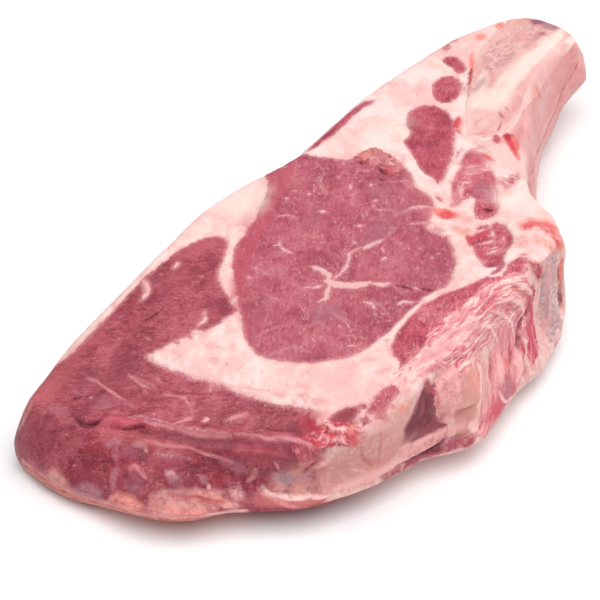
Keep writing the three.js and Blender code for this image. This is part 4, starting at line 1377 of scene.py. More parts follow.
def lean_colour(sheet: Sheet, lean: Lean) -> tuple[Socket, Socket]:
    """Builds the mottled, fibrous look of lean meat, with fine marbling.

    Args:
        sheet: the material being made.
        lean: the kind of meat.

    Returns:
        The colour and the height of the fibres.
    """
    wall = sheet.attribute("wall")
    along_top = sheet.grain(lean.turn, 0.3, 1.0, 0.7)
    down_wall = sheet.grain(0, 1.0, 1.0, 0.22)
    broad = sheet.noise(15, 2)
    middle = sheet.noise(4.2, 3, 0.6, 0.3)
    top_fibre = sheet.noise(1.3, 3, 0.65, 0.4, along_top)
    fibre = sheet.choose(wall, top_fibre, sheet.noise(1.9, 3, 0.6, 0.5, down_wall))
    fine = sheet.noise(0.8, 3, 0.7, 0.2, sheet.grain(lean.turn, 0.6))
    even = 0.30 - 0.30 * lean.fibre
    tone = sheet.total((broad, 0.36), (middle, 0.18), (fibre, 0.30 * lean.fibre), (fine, 0.16), (0.5, even))
    colour = sheet.tint(linear(lean.dark), lean.mid, tone, 0.43, 0.505)
    colour = sheet.tint(colour, lean.light, tone, 0.505, 0.585)
    # Painted sheen on the high fine fibres, and painted shade in the lean's deep colour in the low ones.
    colour = sheet.tint(colour, Trace.FIBRE_SHINE, fine, 0.55, 0.70, 0.20)
    colour = sheet.tint(colour, lean.deep, fine, 0.44, 0.32, 0.35)
    bundle = sheet.bundles(2.3, sheet.grain(lean.turn, 0.45), 0.5)
    pale = sheet.step(bundle, 0.06, 0.0, 0.3 * lean.veins)
    colour = sheet.veil(colour, Trace.BUNDLE_WALL, pale, sheet.step(middle, 0.42, 0.60))
    small = sheet.bundles(1.1, sheet.grain(lean.turn, 0.5), 0.5)
    dark = sheet.step(small, 0.10, 0.0, 0.5)
    colour = sheet.veil(colour, lean.deep, dark, sheet.step(middle, 0.55, 0.38))
    speck = sheet.noise(1.6, 3, 0.66, 0.4, sheet.grain(lean.turn + 12, 0.5))
    colour = sheet.tint(colour, Trace.FAT_SPECK, speck, 0.60, 0.69, 0.6 * lean.flecks)
    vein = sheet.line(sheet.noise(3.6, 3, 0.6, 1.4, sheet.grain(lean.turn + 8, 0.55)), 0.018)
    patch = sheet.step(sheet.noise(9, 2, 0.5), 0.49, 0.60, 0.75 * lean.veins)
    colour = sheet.veil(colour, Trace.VEIN, vein, patch)
    dash = sheet.cells(6.0, sheet.grain(-50, 0.3))
    dash = sheet.math("ADD", dash, sheet.math("MULTIPLY", fine, 0.12))
    colour = sheet.tint(colour, Trace.DASH, dash, 0.155, 0.105, 0.75 * lean.veins)
    crack = sheet.line(sheet.noise(3.0, 3, 0.6, 0.6, sheet.grain(lean.turn, 0.22, 1.0, 0.6)), 0.022)
    patch = sheet.step(sheet.noise(7, 2, 0.5), 0.50, 0.62, 0.6 * lean.cracks)
    colour = sheet.veil(colour, lean.deep, crack, patch)
    # Lean on the walls is darkened towards its deep colour: painted shade on the sides.
    colour = sheet.veil(colour, lean.deep, wall, 0.25)
    height = sheet.total((fibre, 0.5), (speck, 0.3), (fine, 0.15), (sheet.step(bundle, 0.0, 0.14), 0.10))
    return colour, height


def fat_colour(sheet: Sheet, fat: "Fat") -> tuple[Socket, Socket]:
    """Builds the waxy, faintly blotched look of fat, in thin folded layers on the walls.

    Args:
        sheet: the material being made.
        fat: its colours.

    Returns:
        The colour and the height of the lobes.
    """
    broad = sheet.noise(19, 2, 0.55)
    middle = sheet.noise(5.0, 3, 0.6, 0.5)
    fine = sheet.noise(0.9, 3, 0.65)
    tone = sheet.total((broad, 0.45), (middle, 0.35), (fine, 0.2))
    colour = sheet.tint(linear(fat.pale), fat.pink, tone, 0.42, 0.58)
    colour = sheet.tint(colour, Trace.FAT_BLUSH, middle, 0.57, 0.70, 0.55)
    # Painted highlights on the high fine bumps and painted shade in the low ones.
    colour = sheet.tint(colour, Trace.FAT_GLINT, fine, 0.55, 0.68, 0.35)
    colour = sheet.tint(colour, Trace.FAT_PIT_SHADE, fine, 0.43, 0.33, 0.35)
    thread = sheet.line(sheet.noise(8, 3, 0.55, 1.0), 0.014)
    colour = sheet.veil(colour, Trace.FAT_THREAD, thread, sheet.step(sheet.noise(11, 2), 0.47, 0.60, 0.3))
    down_wall = sheet.grain(0, *fat.flow)
    layers = sheet.noise(2.9, 3, 0.6, 0.9, down_wall)
    layered_fat = sheet.tint(linear(fat.fold), fat.furrow, layers, 0.40, 0.62)
    # Painted highlights and painted shade on the fine bumps of the layers too.
    layered_fat = sheet.tint(layered_fat, Trace.LAYER_GLINT, fine, 0.54, 0.68, 0.35)
    layered_fat = sheet.tint(layered_fat, Trace.LAYER_PIT_SHADE, fine, 0.45, 0.34, 0.4)
    thread = sheet.line(sheet.noise(5.0, 3, 0.55, 1.1, down_wall), 0.028)
    patch = sheet.step(sheet.noise(12, 2), 0.47, 0.60, 0.5)
    layered_fat = sheet.veil(layered_fat, Trace.LAYER_LINE, thread, patch)
    colour = sheet.blend(sheet.attribute("wall"), colour, layered_fat)
    height = sheet.total((middle, 0.7), (fine, 0.25), (layers, 0.5))
    return colour, height


def leafed(sheet: Sheet, colour: object) -> tuple[Socket, Socket]:
    """Lays the leaves of tissue over a colour, where the piece has some.

    Args:
        sheet: the material being made.
        colour: the colour below.

    Returns:
        The colour, and the height of the leaves.
    """
    leaves = sheet.noise(1000, 5, 0.7, 0.5, sheet.attribute("lane", True))
    plain, pale, deep = (sheet.attribute(name, True) for name in ("plain", "pale", "deep"))
    leaf = sheet.blend(sheet.step(leaves, 0.49, 0.60), plain, pale)
    leaf = sheet.blend(sheet.step(leaves, 0.47, 0.38), leaf, deep)
    leafy = sheet.uneven("leaf", (sheet.noise(1.2, 3, 0.7), 2.4), (1.0, -1.2))
    there = sheet.step(sheet.attribute("leaf"), 0.02, 0.2)
    leafy = sheet.math("MULTIPLY", sheet.step(leafy, 0.30, 0.65), there)
    return sheet.blend(leafy, colour, leaf), leaves


def marked(
    sheet: Sheet, lean: tuple[object, object], fat: tuple[object, object]
) -> tuple[Socket, Socket, Socket]:
    """Lays fat beside lean by the border, then streaks, slits, stains and painted highlights and shade over
    both.

    Args:
        sheet: the material being made.
        lean: colour and height of the lean.
        fat: colour and height of the fat.

    Returns:
        The colour, the height, and the share of lean.
    """
    ragged = sheet.noise(1.3, 3, 0.65, 0.5)
    wander = sheet.noise(5.0, 2)
    border = sheet.uneven("border", (ragged, 1.5), (wander, 2.0), (1.0, -1.75))
    is_lean = sheet.step(border, -0.3, 0.3)
    inner = sheet.tint(lean[0], Trace.BORDER, border, 1.5, 0.2, 0.45)
    outer = sheet.tint(fat[0], Trace.BORDER, border, -1.5, 0.0, 0.5)
    colour, leaves = leafed(sheet, sheet.blend(is_lean, outer, inner))
    edge = sheet.noise(1.0, 3, 0.65, 0.6)
    streak = sheet.uneven("streak", (edge, 2.4), (1.0, -1.2))
    colour = sheet.tint(colour, Trace.STREAK_EDGE, streak, -1.4, 0.1, 0.45)
    colour = sheet.tint(colour, Trace.STREAK, streak, -0.2, 0.5, 0.85)
    slit = sheet.uneven("slit", (edge, 1.8), (1.0, -0.9))
    colour = sheet.tint(colour, Trace.SLIT_EDGE, slit, -0.6, 0.0, 0.5)
    colour = sheet.tint(colour, Trace.SLIT, slit, -0.1, 0.45, 0.9)
    colour = sheet.stained_and_shaded(colour, (ragged, 2.0), (wander, 1.6), (1.0, -0.85))
    height = sheet.choose(is_lean, fat[1], lean[1])
    height = sheet.math("ADD", height, sheet.math("MULTIPLY", sheet.attribute("leaf"), leaves))
    return colour, height, is_lean


def lean_material(lean: Lean) -> bpy.types.Material:
    """Makes the material of a muscle."""
    sheet = Sheet(lean.name)
    colour, height, share = marked(sheet, lean_colour(sheet, lean), fat_colour(sheet, Fat("fat beside lean")))
    rough = sheet.total((sheet.noise(3.5, 2), 0.25), (share, -0.05), (1.0, 0.36))
    sheet.moist(0.05)
    return sheet.finish(colour, rough, height, 0.3, 0.6)


@dataclass(frozen=True)
class Fat:
    """Colours of one kind of fat."""

    name: str
    pale: str = "fee1da"
    pink: str = "f9c4bf"
    fold: str = "fbd2ca"
    furrow: str = "efb0ac"
    flow: tuple[float, float, float] = (1.0, 1.0, 0.24)
    beside: Lean = Lean("lean beside fat", "9c4655", "b95a69", "cd7884", "7f2f3e", 20)


def fat_material(fat: Fat) -> bpy.types.Material:
    """Makes the material of a fat piece."""
    sheet = Sheet(fat.name)
    colour, height, share = marked(sheet, lean_colour(sheet, fat.beside), fat_colour(sheet, fat))
    rough = sheet.total((sheet.noise(4, 2), 0.25), (share, -0.05), (1.0, 0.38))
    sheet.moist(0.04)
    return sheet.finish(colour, rough, height, 0.25, 0.5)


@dataclass(frozen=True)
class Bone:
    """Colours of sawn bone, from its ivory wall to its porous middle."""

    name: str
    ivory: str = "f0bdb5"
    rose: str = "e7a3a0"
    pore: str = "d0959b"


def bone_material(bone: Bone) -> bpy.types.Material:
    """Makes the material of a bone."""
    sheet = Sheet(bone.name)
    broad = sheet.noise(9, 3, 0.55, 0.3, sheet.grain(15, 0.5))
    fine = sheet.noise(1.2, 3, 0.6)
    colour = sheet.tint(linear(bone.ivory), bone.rose, broad, 0.40, 0.64)
    holes = sheet.cells(1.9, sheet.grain(15, 0.7, 1, 0.8))
    holes = sheet.total((holes, 1.0), (sheet.noise(2.6, 2), 0.9), (1.0, -0.42))
    spongy = sheet.attribute("pore")
    colour = sheet.veil(colour, bone.pore, spongy, sheet.step(sheet.noise(1.5, 3, 0.65), 0.40, 0.62, 0.7))
    colour = sheet.veil(colour, Trace.BONE_HOLE, spongy, sheet.step(holes, 0.34, 0.12, 0.4))
    slit = sheet.uneven("slit", (fine, 1.2), (1.0, -0.6))
    colour = sheet.tint(colour, Trace.BONE_SLIT, slit, -0.3, 0.4, 0.85)
    colour = sheet.stained_and_shaded(colour, (fine, 0.9), (broad, 0.5), (1.0, 0.3))
    height = sheet.total((fine, 0.35), (broad, 0.4))
    sunk = sheet.math("MULTIPLY", spongy, sheet.step(holes, 0.34, 0.1, 0.5))
    height = sheet.math("SUBTRACT", height, sunk)
    rough = sheet.total((fine, 0.2), (1.0, 0.4))
    sheet.moist(0.03)
    return sheet.finish(colour, rough, height, 0.3, 0.6)


@dataclass(frozen=True)
class Skin:
    """Colours of thin skin or cartilage, with long faint streaks."""

    name: str
    pale: str
    deep: str
    turn: float = 25.0
    long: float = 0.16


def skin_material(skin: Skin) -> bpy.types.Material:
    """Makes the material of a membrane or of cartilage."""
    sheet = Sheet(skin.name)
    threads = sheet.noise(2.4, 3, 0.6, 0.3, sheet.grain(skin.turn, skin.long))
    broad = sheet.noise(13, 2, 0.5, 0.2, sheet.grain(skin.turn, 0.5))
    tone = sheet.total((threads, 0.55), (broad, 0.45))
    colour = leafed(sheet, sheet.tint(linear(skin.pale), skin.deep, tone, 0.38, 0.64))[0]
    fine = sheet.noise(1.0, 2)
    slit = sheet.uneven("slit", (fine, 1.2), (1.0, -0.6))
    colour = sheet.tint(colour, Trace.SKIN_SLIT, slit, -0.3, 0.4, 0.85)
    colour = sheet.stained_and_shaded(colour, (fine, 0.7), (broad, 0.6), (1.0, 0.35))
    height = sheet.total((threads, 0.8), (fine, 0.2))
    rough = sheet.total((broad, 0.2), (1.0, 0.3))
    sheet.moist(0.08)
    return sheet.finish(colour, rough, height, 0.3, 0.5)


# The slice


def only(*objects: Item) -> None:
    """Selects these objects alone, the first one active."""
    bpy.ops.object.select_all(action="DESELECT")
    for item in objects:
        item.select_set(True)
    bpy.context.view_layer.objects.active = objects[0]


def linked(name: str, data: bpy.types.ID) -> Item:
    """A new object in the scene."""
    item = bpy.data.objects.new(name, data)
    bpy.context.scene.collection.objects.link(item)
    return item


def apply(item: Item, kind: str, **settings: object) -> None:
    """Adds a modifier with its settings and applies it.

    Args:
        item: the object.
        kind: the modifier's type.
        settings: its values.
    """
    only(item)
    modifier = item.modifiers.new(kind.title(), kind)
    for name, value in settings.items():
        setattr(modifier, name, value)
    bpy.ops.object.modifier_apply(modifier=modifier.name)


def merged_copy(node: str, name: str) -> Item:
    """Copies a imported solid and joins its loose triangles.

    Args:
        node: the solid's node.
        name: the copy's name.

    Returns:
        The copy.
    """
    item = linked(name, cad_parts[node].data.copy())
    item.data.materials.clear()
    only(item)
    bpy.ops.object.mode_set(mode="EDIT")
    bpy.ops.mesh.select_all(action="SELECT")
    bpy.ops.mesh.remove_doubles(threshold=1e-6)
    bpy.ops.object.mode_set(mode="OBJECT")
    return item


def read(values: object, name: str) -> np.ndarray:
    """Reads one vector from each corner or face of a mesh."""
    found = np.zeros(len(values) * 3, np.float32)
    values.foreach_get(name, found)
    return found.reshape(-1, 3)


def places_of(item: Item) -> np.ndarray:
    """The corners of a mesh in mm."""
    return read(item.data.vertices, "co").astype(float) / MM


def normals_of(item: Item) -> np.ndarray:
    """The directions in which the corners of a mesh look."""
    return read(item.data.vertex_normals, "vector").astype(float)


def corner_tree(places: np.ndarray) -> kdtree.KDTree:
    """A search tree, in metres, over places in mm."""
    tree = kdtree.KDTree(len(places))
    for index, place in enumerate(places):
        tree.insert(place * MM, index)
    tree.balance()
    return tree


def tree_of(*items: Item) -> BVHTree:
    """A search tree over the faces of some objects."""
    corners: list[Vector] = []
    faces: list[list[int]] = []
    for item in items:
        start = len(corners)
        corners += [v.co.copy() for v in item.data.vertices]
        faces += [[start + i for i in p.vertices] for p in item.data.polygons]
    return BVHTree.FromPolygons(corners, faces)


# The line in plan along which the shoulder's edge sinks, and how that edge moves. Then the ways in plan in
# which the near wall of the tail and the wall under the shoulder look.
SHOULDER_EDGE = ((52, -17), (45, -30), (38, -40), (31, -48))
SHOULDER_SINKS = (-1.8, 1.8, -4.6)
NEAR_WAY = (-0.79, -0.61)
SHOULDER_WAY = (0.6, -0.8)


@dataclass
class Sag:
    """How the soft meat sags: walls that stand out, a foot clear of the table and a sunk shoulder."""

    foot: kdtree.KDTree
    width: float = 12.0
    top: float = 16.0
    even: float = 0.6
    tail: float = 4.6
    front: float = 2.6
    corner: float = 5.6
    rib: float = 5.0
    rib_middle: float = 2.4
    under_shoulder: float = 3.2
    foot_rise: float = 3.0
    tail_rise: float = 3.6

    @classmethod
    def over(cls, places: np.ndarray, normals: np.ndarray) -> "Sag":
        """Finds the foot of the walls.

        Args:
            places: the skin's corners in mm.
            normals: directions in which the skin looks there.

        Returns:
            The sag of that skin.
        """
        foot = (np.abs(normals[:, 2]) < 0.5) & (places[:, 2] < 8)
        return cls(corner_tree(places[foot] * (1, 1, 0)))

    def near(self, places: np.ndarray) -> np.ndarray:
        """Share to which each place belongs to the near side."""
        return ease(30, 5, places[:, 1]) * ease(52, 30, places[:, 0])

    def bulge(self, places: np.ndarray) -> np.ndarray:
        """How far the wall may bulge at each place, whatever its level."""
        x, y, _ = places.T
        tail = ease(-20, -75, x) * ease(-154, -128, x)
        front = np.exp(-((x + 104) ** 2 + (y + 38) ** 2) / 700)
        corner = np.exp(-(((x + 136) / 20) ** 2) - ((y - 11) / 30) ** 2)
        most = self.even + self.tail * tail + self.front * front
        return self.near(places) * most + self.corner * corner

    def swell(self, places: np.ndarray) -> np.ndarray:
        """How far the lower half of the rib side stands out."""
        x, y, z = places.T
        reach = ease(36, 8, x) * ease(-68, -52, x) * ease(-36, -48, y)
        most = self.rib + self.rib_middle * np.exp(-(((x + 5) / 12) ** 2))
        return reach * most * ease(0.2, 4.0, z) * ease(32, 6, z)

    def shoulder(self, places: np.ndarray) -> np.ndarray:
        """How far the wall under the shoulder stands out."""
        x, y, z = places.T
        middle = np.exp(-((x - 67) ** 2 + (y + 37) ** 2) / 160)
        return self.under_shoulder * middle * ease(0.2, 5.0, z) * ease(44, 30, z)

    def lift(self, places: np.ndarray) -> np.ndarray:
        """How far each place rises with the lower edge."""
        risen = np.zeros(len(places))
        low = np.nonzero((places[:, 2] < self.top) & (places[:, 1] < 30) & (places[:, 0] < 52))[0]
        gap = np.array([self.foot.find(place * MM)[2] for place in places[low] * (1, 1, 0)]) / MM
        place = places[low]
        most = self.foot_rise + self.tail_rise * ease(10, -50, place[:, 0])
        share = np.clip(1 - gap / self.width, 0, 1) ** 1.5 * ease(self.top, 0, place[:, 2])
        risen[low] = most * self.near(place) * share
        return risen

    def move(self, places: np.ndarray) -> np.ndarray:
        """How each place moves by the sag."""
        level = ease(0.2, 5.0, places[:, 2]) * ease(20, 7, places[:, 2])
        out = self.bulge(places) * level * (1 + 0.2 * noise(places * (1, 1, 0.3), 26, 71))
        moves = out[:, None] * np.array((*NEAR_WAY, 0.0))
        moves[:, 1] -= self.swell(places)
        moves += self.shoulder(places)[:, None] * np.array((*SHOULDER_WAY, 0.0))
        moves[:, 2] += self.lift(places)
        off = along(places[:, :2], np.array(SHOULDER_EDGE, float))[0]
        share = ease(17, 1, off) * ease(10, 34, places[:, 2])
        return moves + share[:, None] * np.array(SHOULDER_SINKS)


# Nodes of fat, bone and skin. All others are lean.
FAT_NODES = ("fat_body", "edge_fat", "flank_membrane", "cartilage_knob", "chine_bone", "feather_bone")


@dataclass(frozen=True)
class View:
    """The picture's camera, in metres, and its rays through the picture's pixels."""

    place: tuple[float, float, float] = (-0.3974, -0.2611, 0.4289)
    aim: tuple[float, float, float] = (-0.0220, 0.0322, 0.0)
    lens: float = 100.0
    sensor: float = 36.0
    side: float = 600.0

    def ray(self, x: float, y: float) -> Vector:
        """Direction of the ray through a pixel.

        Args:
            x: pixels from the picture's left edge.
            y: pixels from its upper edge.

        Returns:
            The direction from the camera.
        """
        ahead = (Vector(self.aim) - Vector(self.place)).normalized()
        right = ahead.cross(Vector((0, 0, 1))).normalized()
        above = right.cross(ahead)
        scale = self.sensor / self.lens / self.side
        return ahead + right * ((x - self.side / 2) * scale) + above * ((self.side / 2 - y) * scale)


@dataclass
class Slice:
    """The whole chop as one skin, and the cutting of its pieces out of it."""

    voxel: float = 1.0
    grow: float = 0.25
    wander: float = 0.7
    smooth_rounds: int = 5
    round_rounds: int = 150
    reach: float = 1.4
    push: float = 4.0
    deepest: float = 0.02
    smooth_angle: float = 62.0
    plan_zero: tuple[float, float] = (-3.988, 0.158)
    view: View = View()
    skin: Item | None = None
    sag: Sag | None = None
    smooth_tree: BVHTree | None = None
    shown_tree: BVHTree | None = None
    shown_corners: kdtree.KDTree | None = None
    corners: kdtree.KDTree | None = None
    places: np.ndarray | None = None
    fields: Fields | None = None
    copies: dict[str, Item] = field(default_factory=dict)

    def build(self) -> None:
        """Makes the skin with its relief and fields."""
        self.join()
        self.refine()
        self.smooth_tree = tree_of(self.skin)
        self.places = places_of(self.skin)
        self.sag = Sag.over(self.places, normals_of(self.skin))
        self.fields = Fields.blank(len(self.places))
        self.measure_borders()
        self.draw_marks()
        self.raise_relief()

    def join(self) -> None:
        """Joins copies of the solids and gives them one skin."""
        copies = [merged_copy(node, f"{node}_copy") for node in sorted(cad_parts)]
        only(*copies)
        bpy.ops.object.join()
        self.skin = bpy.context.view_layer.objects.active
        self.skin.name = "skin"
        apply(self.skin, "DISPLACE", mid_level=0.0, strength=self.grow * MM)
        apply(self.skin, "REMESH", mode="VOXEL", voxel_size=self.voxel * MM, adaptivity=0.0)
        places = places_of(self.skin)
        self.weigh("soft", 1 - 0.8 * ease(124, 136, places[:, 0]))
        apply(self.skin, "SMOOTH", factor=0.5, iterations=self.smooth_rounds, vertex_group="soft")
        rib = ease(-40, -50, places[:, 1]) * ease(-100, -84, places[:, 0]) * ease(46, 34, places[:, 0])
        tail = ease(-88, -104, places[:, 0])
        self.weigh("round", np.maximum(rib, 0.2 * tail))
        apply(self.skin, "SMOOTH", factor=0.5, iterations=self.round_rounds, vertex_group="round")

    def weigh(self, name: str, weight: np.ndarray) -> None:
        """Gives the skin a group of corners, weighted in tenths."""
        group = self.skin.vertex_groups.new(name=name)
        for level in range(1, 11):
            chosen = np.nonzero(np.round(weight * 10) == level)[0]
            group.add(chosen.tolist(), level / 10, "REPLACE")

    def refine(self) -> None:
        """Divides the faces that the upper side and the rib side show, for fine relief and marks."""
        mesh = self.skin.data
        only(self.skin)
        bpy.ops.object.mode_set(mode="EDIT")
        bpy.ops.mesh.select_all(action="DESELECT")
        bpy.ops.object.mode_set(mode="OBJECT")
        centre, normal = read(mesh.polygons, "center") / MM, read(mesh.polygons, "normal")
        shown = (normal[:, 2] > 0.45) & (centre[:, 2] > 15) & (centre[:, 1] < 44)
        shown |= (normal @ np.array((*NEAR_WAY, 0.2)) > 0.42) & (centre[:, 2] > 4)
        mesh.polygons.foreach_set("select", shown)
        bpy.ops.object.mode_set(mode="EDIT")
        bpy.ops.mesh.subdivide(number_cuts=1)
        bpy.ops.object.mode_set(mode="OBJECT")
        apply(self.skin, "SMOOTH", factor=0.5, iterations=1)

    def measure_borders(self) -> None:
        """Measures how deep each corner lies in the lean (above 0) or in the fat (below 0)."""
        fat = tree_of(*(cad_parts[n] for n in FAT_NODES))
        lean = tree_of(*(o for n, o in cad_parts.items() if n not in FAT_NODES))
        gaps = np.full((len(self.places), 2), self.deepest)
        for index, place in enumerate(self.places):
            for column, tree in enumerate((fat, lean)):
                gap = tree.find_nearest(Vector(place * MM), self.deepest)[3]
                if gap is not None:
                    gaps[index, column] = gap
        self.fields.border = (gaps[:, 0] - gaps[:, 1]) / MM

    def draw_marks(self) -> None:
        """Draws all strokes."""
        looks_up = normals_of(self.skin)[:, 2]
        up = ease(0.3, 0.75, looks_up)
        self.fields.wall = 1 - ease(0.3, 0.8, looks_up)
        wander = np.stack([layered(self.places, 4.0, seed, 2) for seed in (3, 5, 7)], 1)
        flat = self.places + self.wander * wander
        self.note_shown()
        for seed, row in enumerate(LEAVES):
            leaves = Leaves(*row)
            guide, middle = self.seen_points(leaves.guide), self.seen_points(leaves.middle)
            replace(leaves, guide=guide, middle=middle).draw(self.fields, flat, self.places, 61 + seed)
        for stroke in all_strokes():
            points = self.seen_points(stroke.points) if stroke.seen else self.plan_points(stroke)
            if points:
                self.fields.draw(replace(stroke, points=points), flat, self.places, up)

    def note_shown(self) -> None:
        """Keeps the skin as the picture shows it, with its sag."""
        shown = self.places + self.sag.move(self.places)
        faces = [tuple(face.vertices) for face in self.skin.data.polygons]
        self.shown_tree = BVHTree.FromPolygons((shown * MM).tolist(), faces)
        self.shown_corners = corner_tree(shown)

    def plan_points(self, stroke: Stroke) -> Points:
        """A stroke's plan points in the part's own frame."""
        return tuple((x + self.plan_zero[0], y + self.plan_zero[1]) for x, y in stroke.points)

    def seen_points(self, pixels: Points) -> Points:
        """Places on the skin, in mm, that the picture shows at some pixels."""
        eye = Vector(self.view.place)
        hits = [self.shown_tree.ray_cast(eye, self.view.ray(x, y).normalized())[0] for x, y in pixels]
        corners = [self.shown_corners.find(hit)[1] for hit in hits if hit is not None]
        return tuple(tuple(self.places[corner]) for corner in corners)

    def raise_relief(self) -> None:
        """Moves the skin by its relief: soft waves, grain, creases at the borders, folds on the walls."""
        normal = normals_of(self.skin)
        place, fields = self.places, self.fields
        up = ease(0.45, 0.85, normal[:, 2])
        down = ease(0.35, 0.8, -normal[:, 2])
        side = 1 - up - down
        crease = np.exp(-((fields.border / 0.8) ** 2)) * (0.6 + 0.4 * noise(place, 7, 11))
        proud = 0.3 * (1 - ease(-0.8, 0.8, fields.border))
        top = 0.45 * layered(place * (0.7, 1, 1), 11, 21, 3) + 0.12 * noise(place, 1.7, 23)
        wall = 0.8 * layered(place * (1, 1, 0.7), 14, 31, 3)
        tail = ease(-48, -78, place[:, 0])[:, None]
        flow = place * (np.array((1, 1, 0.26)) * (1 - tail) + np.array((0.35, 0.35, 0.9)) * tail)
        fibres = 0.25 * layered(flow, 2.4, 37, 2)
        layers = 0.3 * (0.5 - np.abs(layered(flow, 6.5, 41, 2)) * 2)
        in_fat = 0.4 * fibres + 0.6 * layers * ease(0.5, -1.5, fields.border)
        wall += np.where(fields.border > 0, fibres, in_fat)
        height = up * (top - 0.35 * crease + proud) + side * wall + (up + side) * fields.height
        streaks = up * 0.18 * ease(-0.4, 0.6, fields.streak)
        height += streaks - (up + side) * 0.3 * ease(-0.3, 0.6, fields.slit)
        moved = place + normal * height[:, None] + self.sag.move(place)
        moved[:, 2] = np.maximum(moved[:, 2], 0.0)
        self.skin.data.vertices.foreach_set("co", (moved * MM).astype(np.float32).ravel())
        self.skin.data.update()
        source = self.skin.data.attributes.new("source", "INT", "POINT")
        source.data.foreach_set("value", np.arange(1, len(place) + 1, dtype=np.int32))
        self.places = moved

    def cutter(self, node: str) -> Item:
        """Copies a solid with its outer faces pushed out past the skin.

        Args:
            node: the solid's node.

        Returns:
            The copy, which meets the skin only where the solid ends inside it.
        """
        item = merged_copy(node, f"{node}_cutter")
        for corner in item.data.vertices:
            _, normal, _, gap = self.smooth_tree.find_nearest(corner.co)
            if gap < self.reach * MM:
                place = np.array([corner.co]) / MM
                raised = self.sag.lift(place)[0] if place[0, 2] > 1 else 0.0
                corner.co = corner.co + normal * ((self.push + self.sag.bulge(place)[0]) * MM)
                corner.co.z += raised * MM
        self.copies[node] = item
        return item

    def cut(self, name: str, cutters: list[Item], keep: bool) -> Item:
        """Cuts one piece out of the skin.

        Args:
            name: the piece's name.
            cutters: the solids to cut with.
            keep: keeps what lies in the cutters, or else what lies outside them.

        Returns:
            The piece with its fields.
        """
        piece = linked(name, self.skin.data.copy())
        operation = "INTERSECT" if keep else "DIFFERENCE"
        for tool in cutters:
            apply(piece, "BOOLEAN", operation=operation, solver="MANIFOLD", object=tool)
        self.carry_fields(piece)
        only(piece)
        bpy.ops.object.shade_smooth_by_angle(angle=math.radians(self.smooth_angle))
        return piece

    def carry_fields(self, piece: Item) -> None:
        """Writes the skin's fields to a piece's corners."""
        mesh = piece.data
        source = np.zeros(len(mesh.vertices), np.int32)
        mesh.attributes["source"].data.foreach_get("value", source)
        index = source - 1
        fresh = np.nonzero(index < 0)[0]
        if self.corners is None:
            self.corners = corner_tree(self.places)
        for k in fresh:
            index[k] = self.corners.find(mesh.vertices[int(k)].co)[1]
        mesh.attributes.remove(mesh.attributes["source"])
        fields = self.fields
        for name in VALUE_FIELDS:
            values = getattr(fields, name)[index]
            layer = mesh.attributes.new(name, "FLOAT", "POINT")
            layer.data.foreach_set("value", values.astype(np.float32))
        for name in COLOUR_FIELDS:
            colour = np.ones((len(index), 4), np.float32)
            colour[:, :3] = getattr(fields, name)[index]
            layer = mesh.attributes.new(name, "FLOAT_COLOR", "POINT")
            layer.data.foreach_set("color", colour.ravel())

    def clear(self) -> None:
        """Removes the skin and the cutters."""
        for item in (*self.copies.values(), self.skin):
            bpy.data.objects.remove(item)


def flood(piece: Item, name: str, value: float) -> None:
    """Sets one of a piece's fields to the same value all over."""
    count = len(piece.data.vertices)
    piece.data.attributes[name].data.foreach_set("value", np.full(count, value, np.float32))


def settle(piece: Item, node: str, material: bpy.types.Material) -> None:
    """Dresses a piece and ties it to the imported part.

    Args:
        piece: the piece.
        node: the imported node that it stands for.
        material: its finish.
    """
    piece.data.materials.clear()
    piece.data.materials.append(material)
    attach(piece, "root")
    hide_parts(node)
    LOG.info("%s: %d corners", piece.name, len(piece.data.vertices))


# Sub-assemblies


@dataclass
class Muscles:
    """The lean parts of the chop."""

    slice: Slice
    eye: Lean = Lean("eye lean", "aa4f61", "bc5d6d", "c86f7d", "8f3b4c", 28, 0.9, 0.7, 0.9, 0.3)
    cap: Lean = Lean("cap lean", "9c4351", "b2525f", "c3646f", "7a2b39", -55, 1.3, 0.3, 0.3, 0.8)
    edge: Lean = Lean("edge lean", "943846", "b04654", "c65f6a", "782938", -64, 1.4, 0.5, 0.5, 0.8)
    back: Lean = Lean("back lean", "a64054", "bf5263", "cd6b7a", "8a2f42", 30, 0.8, 0.3, 0.3, 0.3)
    root: Lean = Lean("root lean", "b04759", "cb5c6d", "de838c", "8f3346", 25, 1.0, 1.0, 1.3, 0.4)
    wall: Lean = Lean("wall lean", "7a2b37", "8f3843", "a54f58", "56222d", -10, 1.2, 0.3, 0.3, 0.5)

    def build(self) -> None:
        """Cuts and dresses each muscle."""
        made: dict[str, bpy.types.Material] = {}
        for lean, slot, nodes in (
            (self.eye, "red_muscle", ("eye_muscle",)),
            (self.cap, "dark_muscle", ("cap_muscle",)),
            (self.edge, "dark_muscle", ("edge_muscle", "corner_muscle")),
            (self.root, "red_muscle", ("rim_muscle", "under_muscle", "knuckle_muscle")),
            (self.root, "red_muscle", ("shoulder_muscle", "root_muscle")),
            (self.back, "red_muscle", ("back_muscle_large", "back_muscle_round", "back_muscle_crescent")),
            (self.back, "red_muscle", ("outer_muscle",)),
            (self.wall, "dark_muscle", ("wall_muscle",)),
            (self.edge, "dark_muscle", ("lower_muscle",)),
        ):
            if lean.name not in made:
                made[lean.name] = lean_material(lean)
            for node in nodes:
                piece = self.slice.cut(node.replace("_muscle", "_lean"), [self.slice.cutter(node)], True)
                settle(piece, node, made[lean.name])


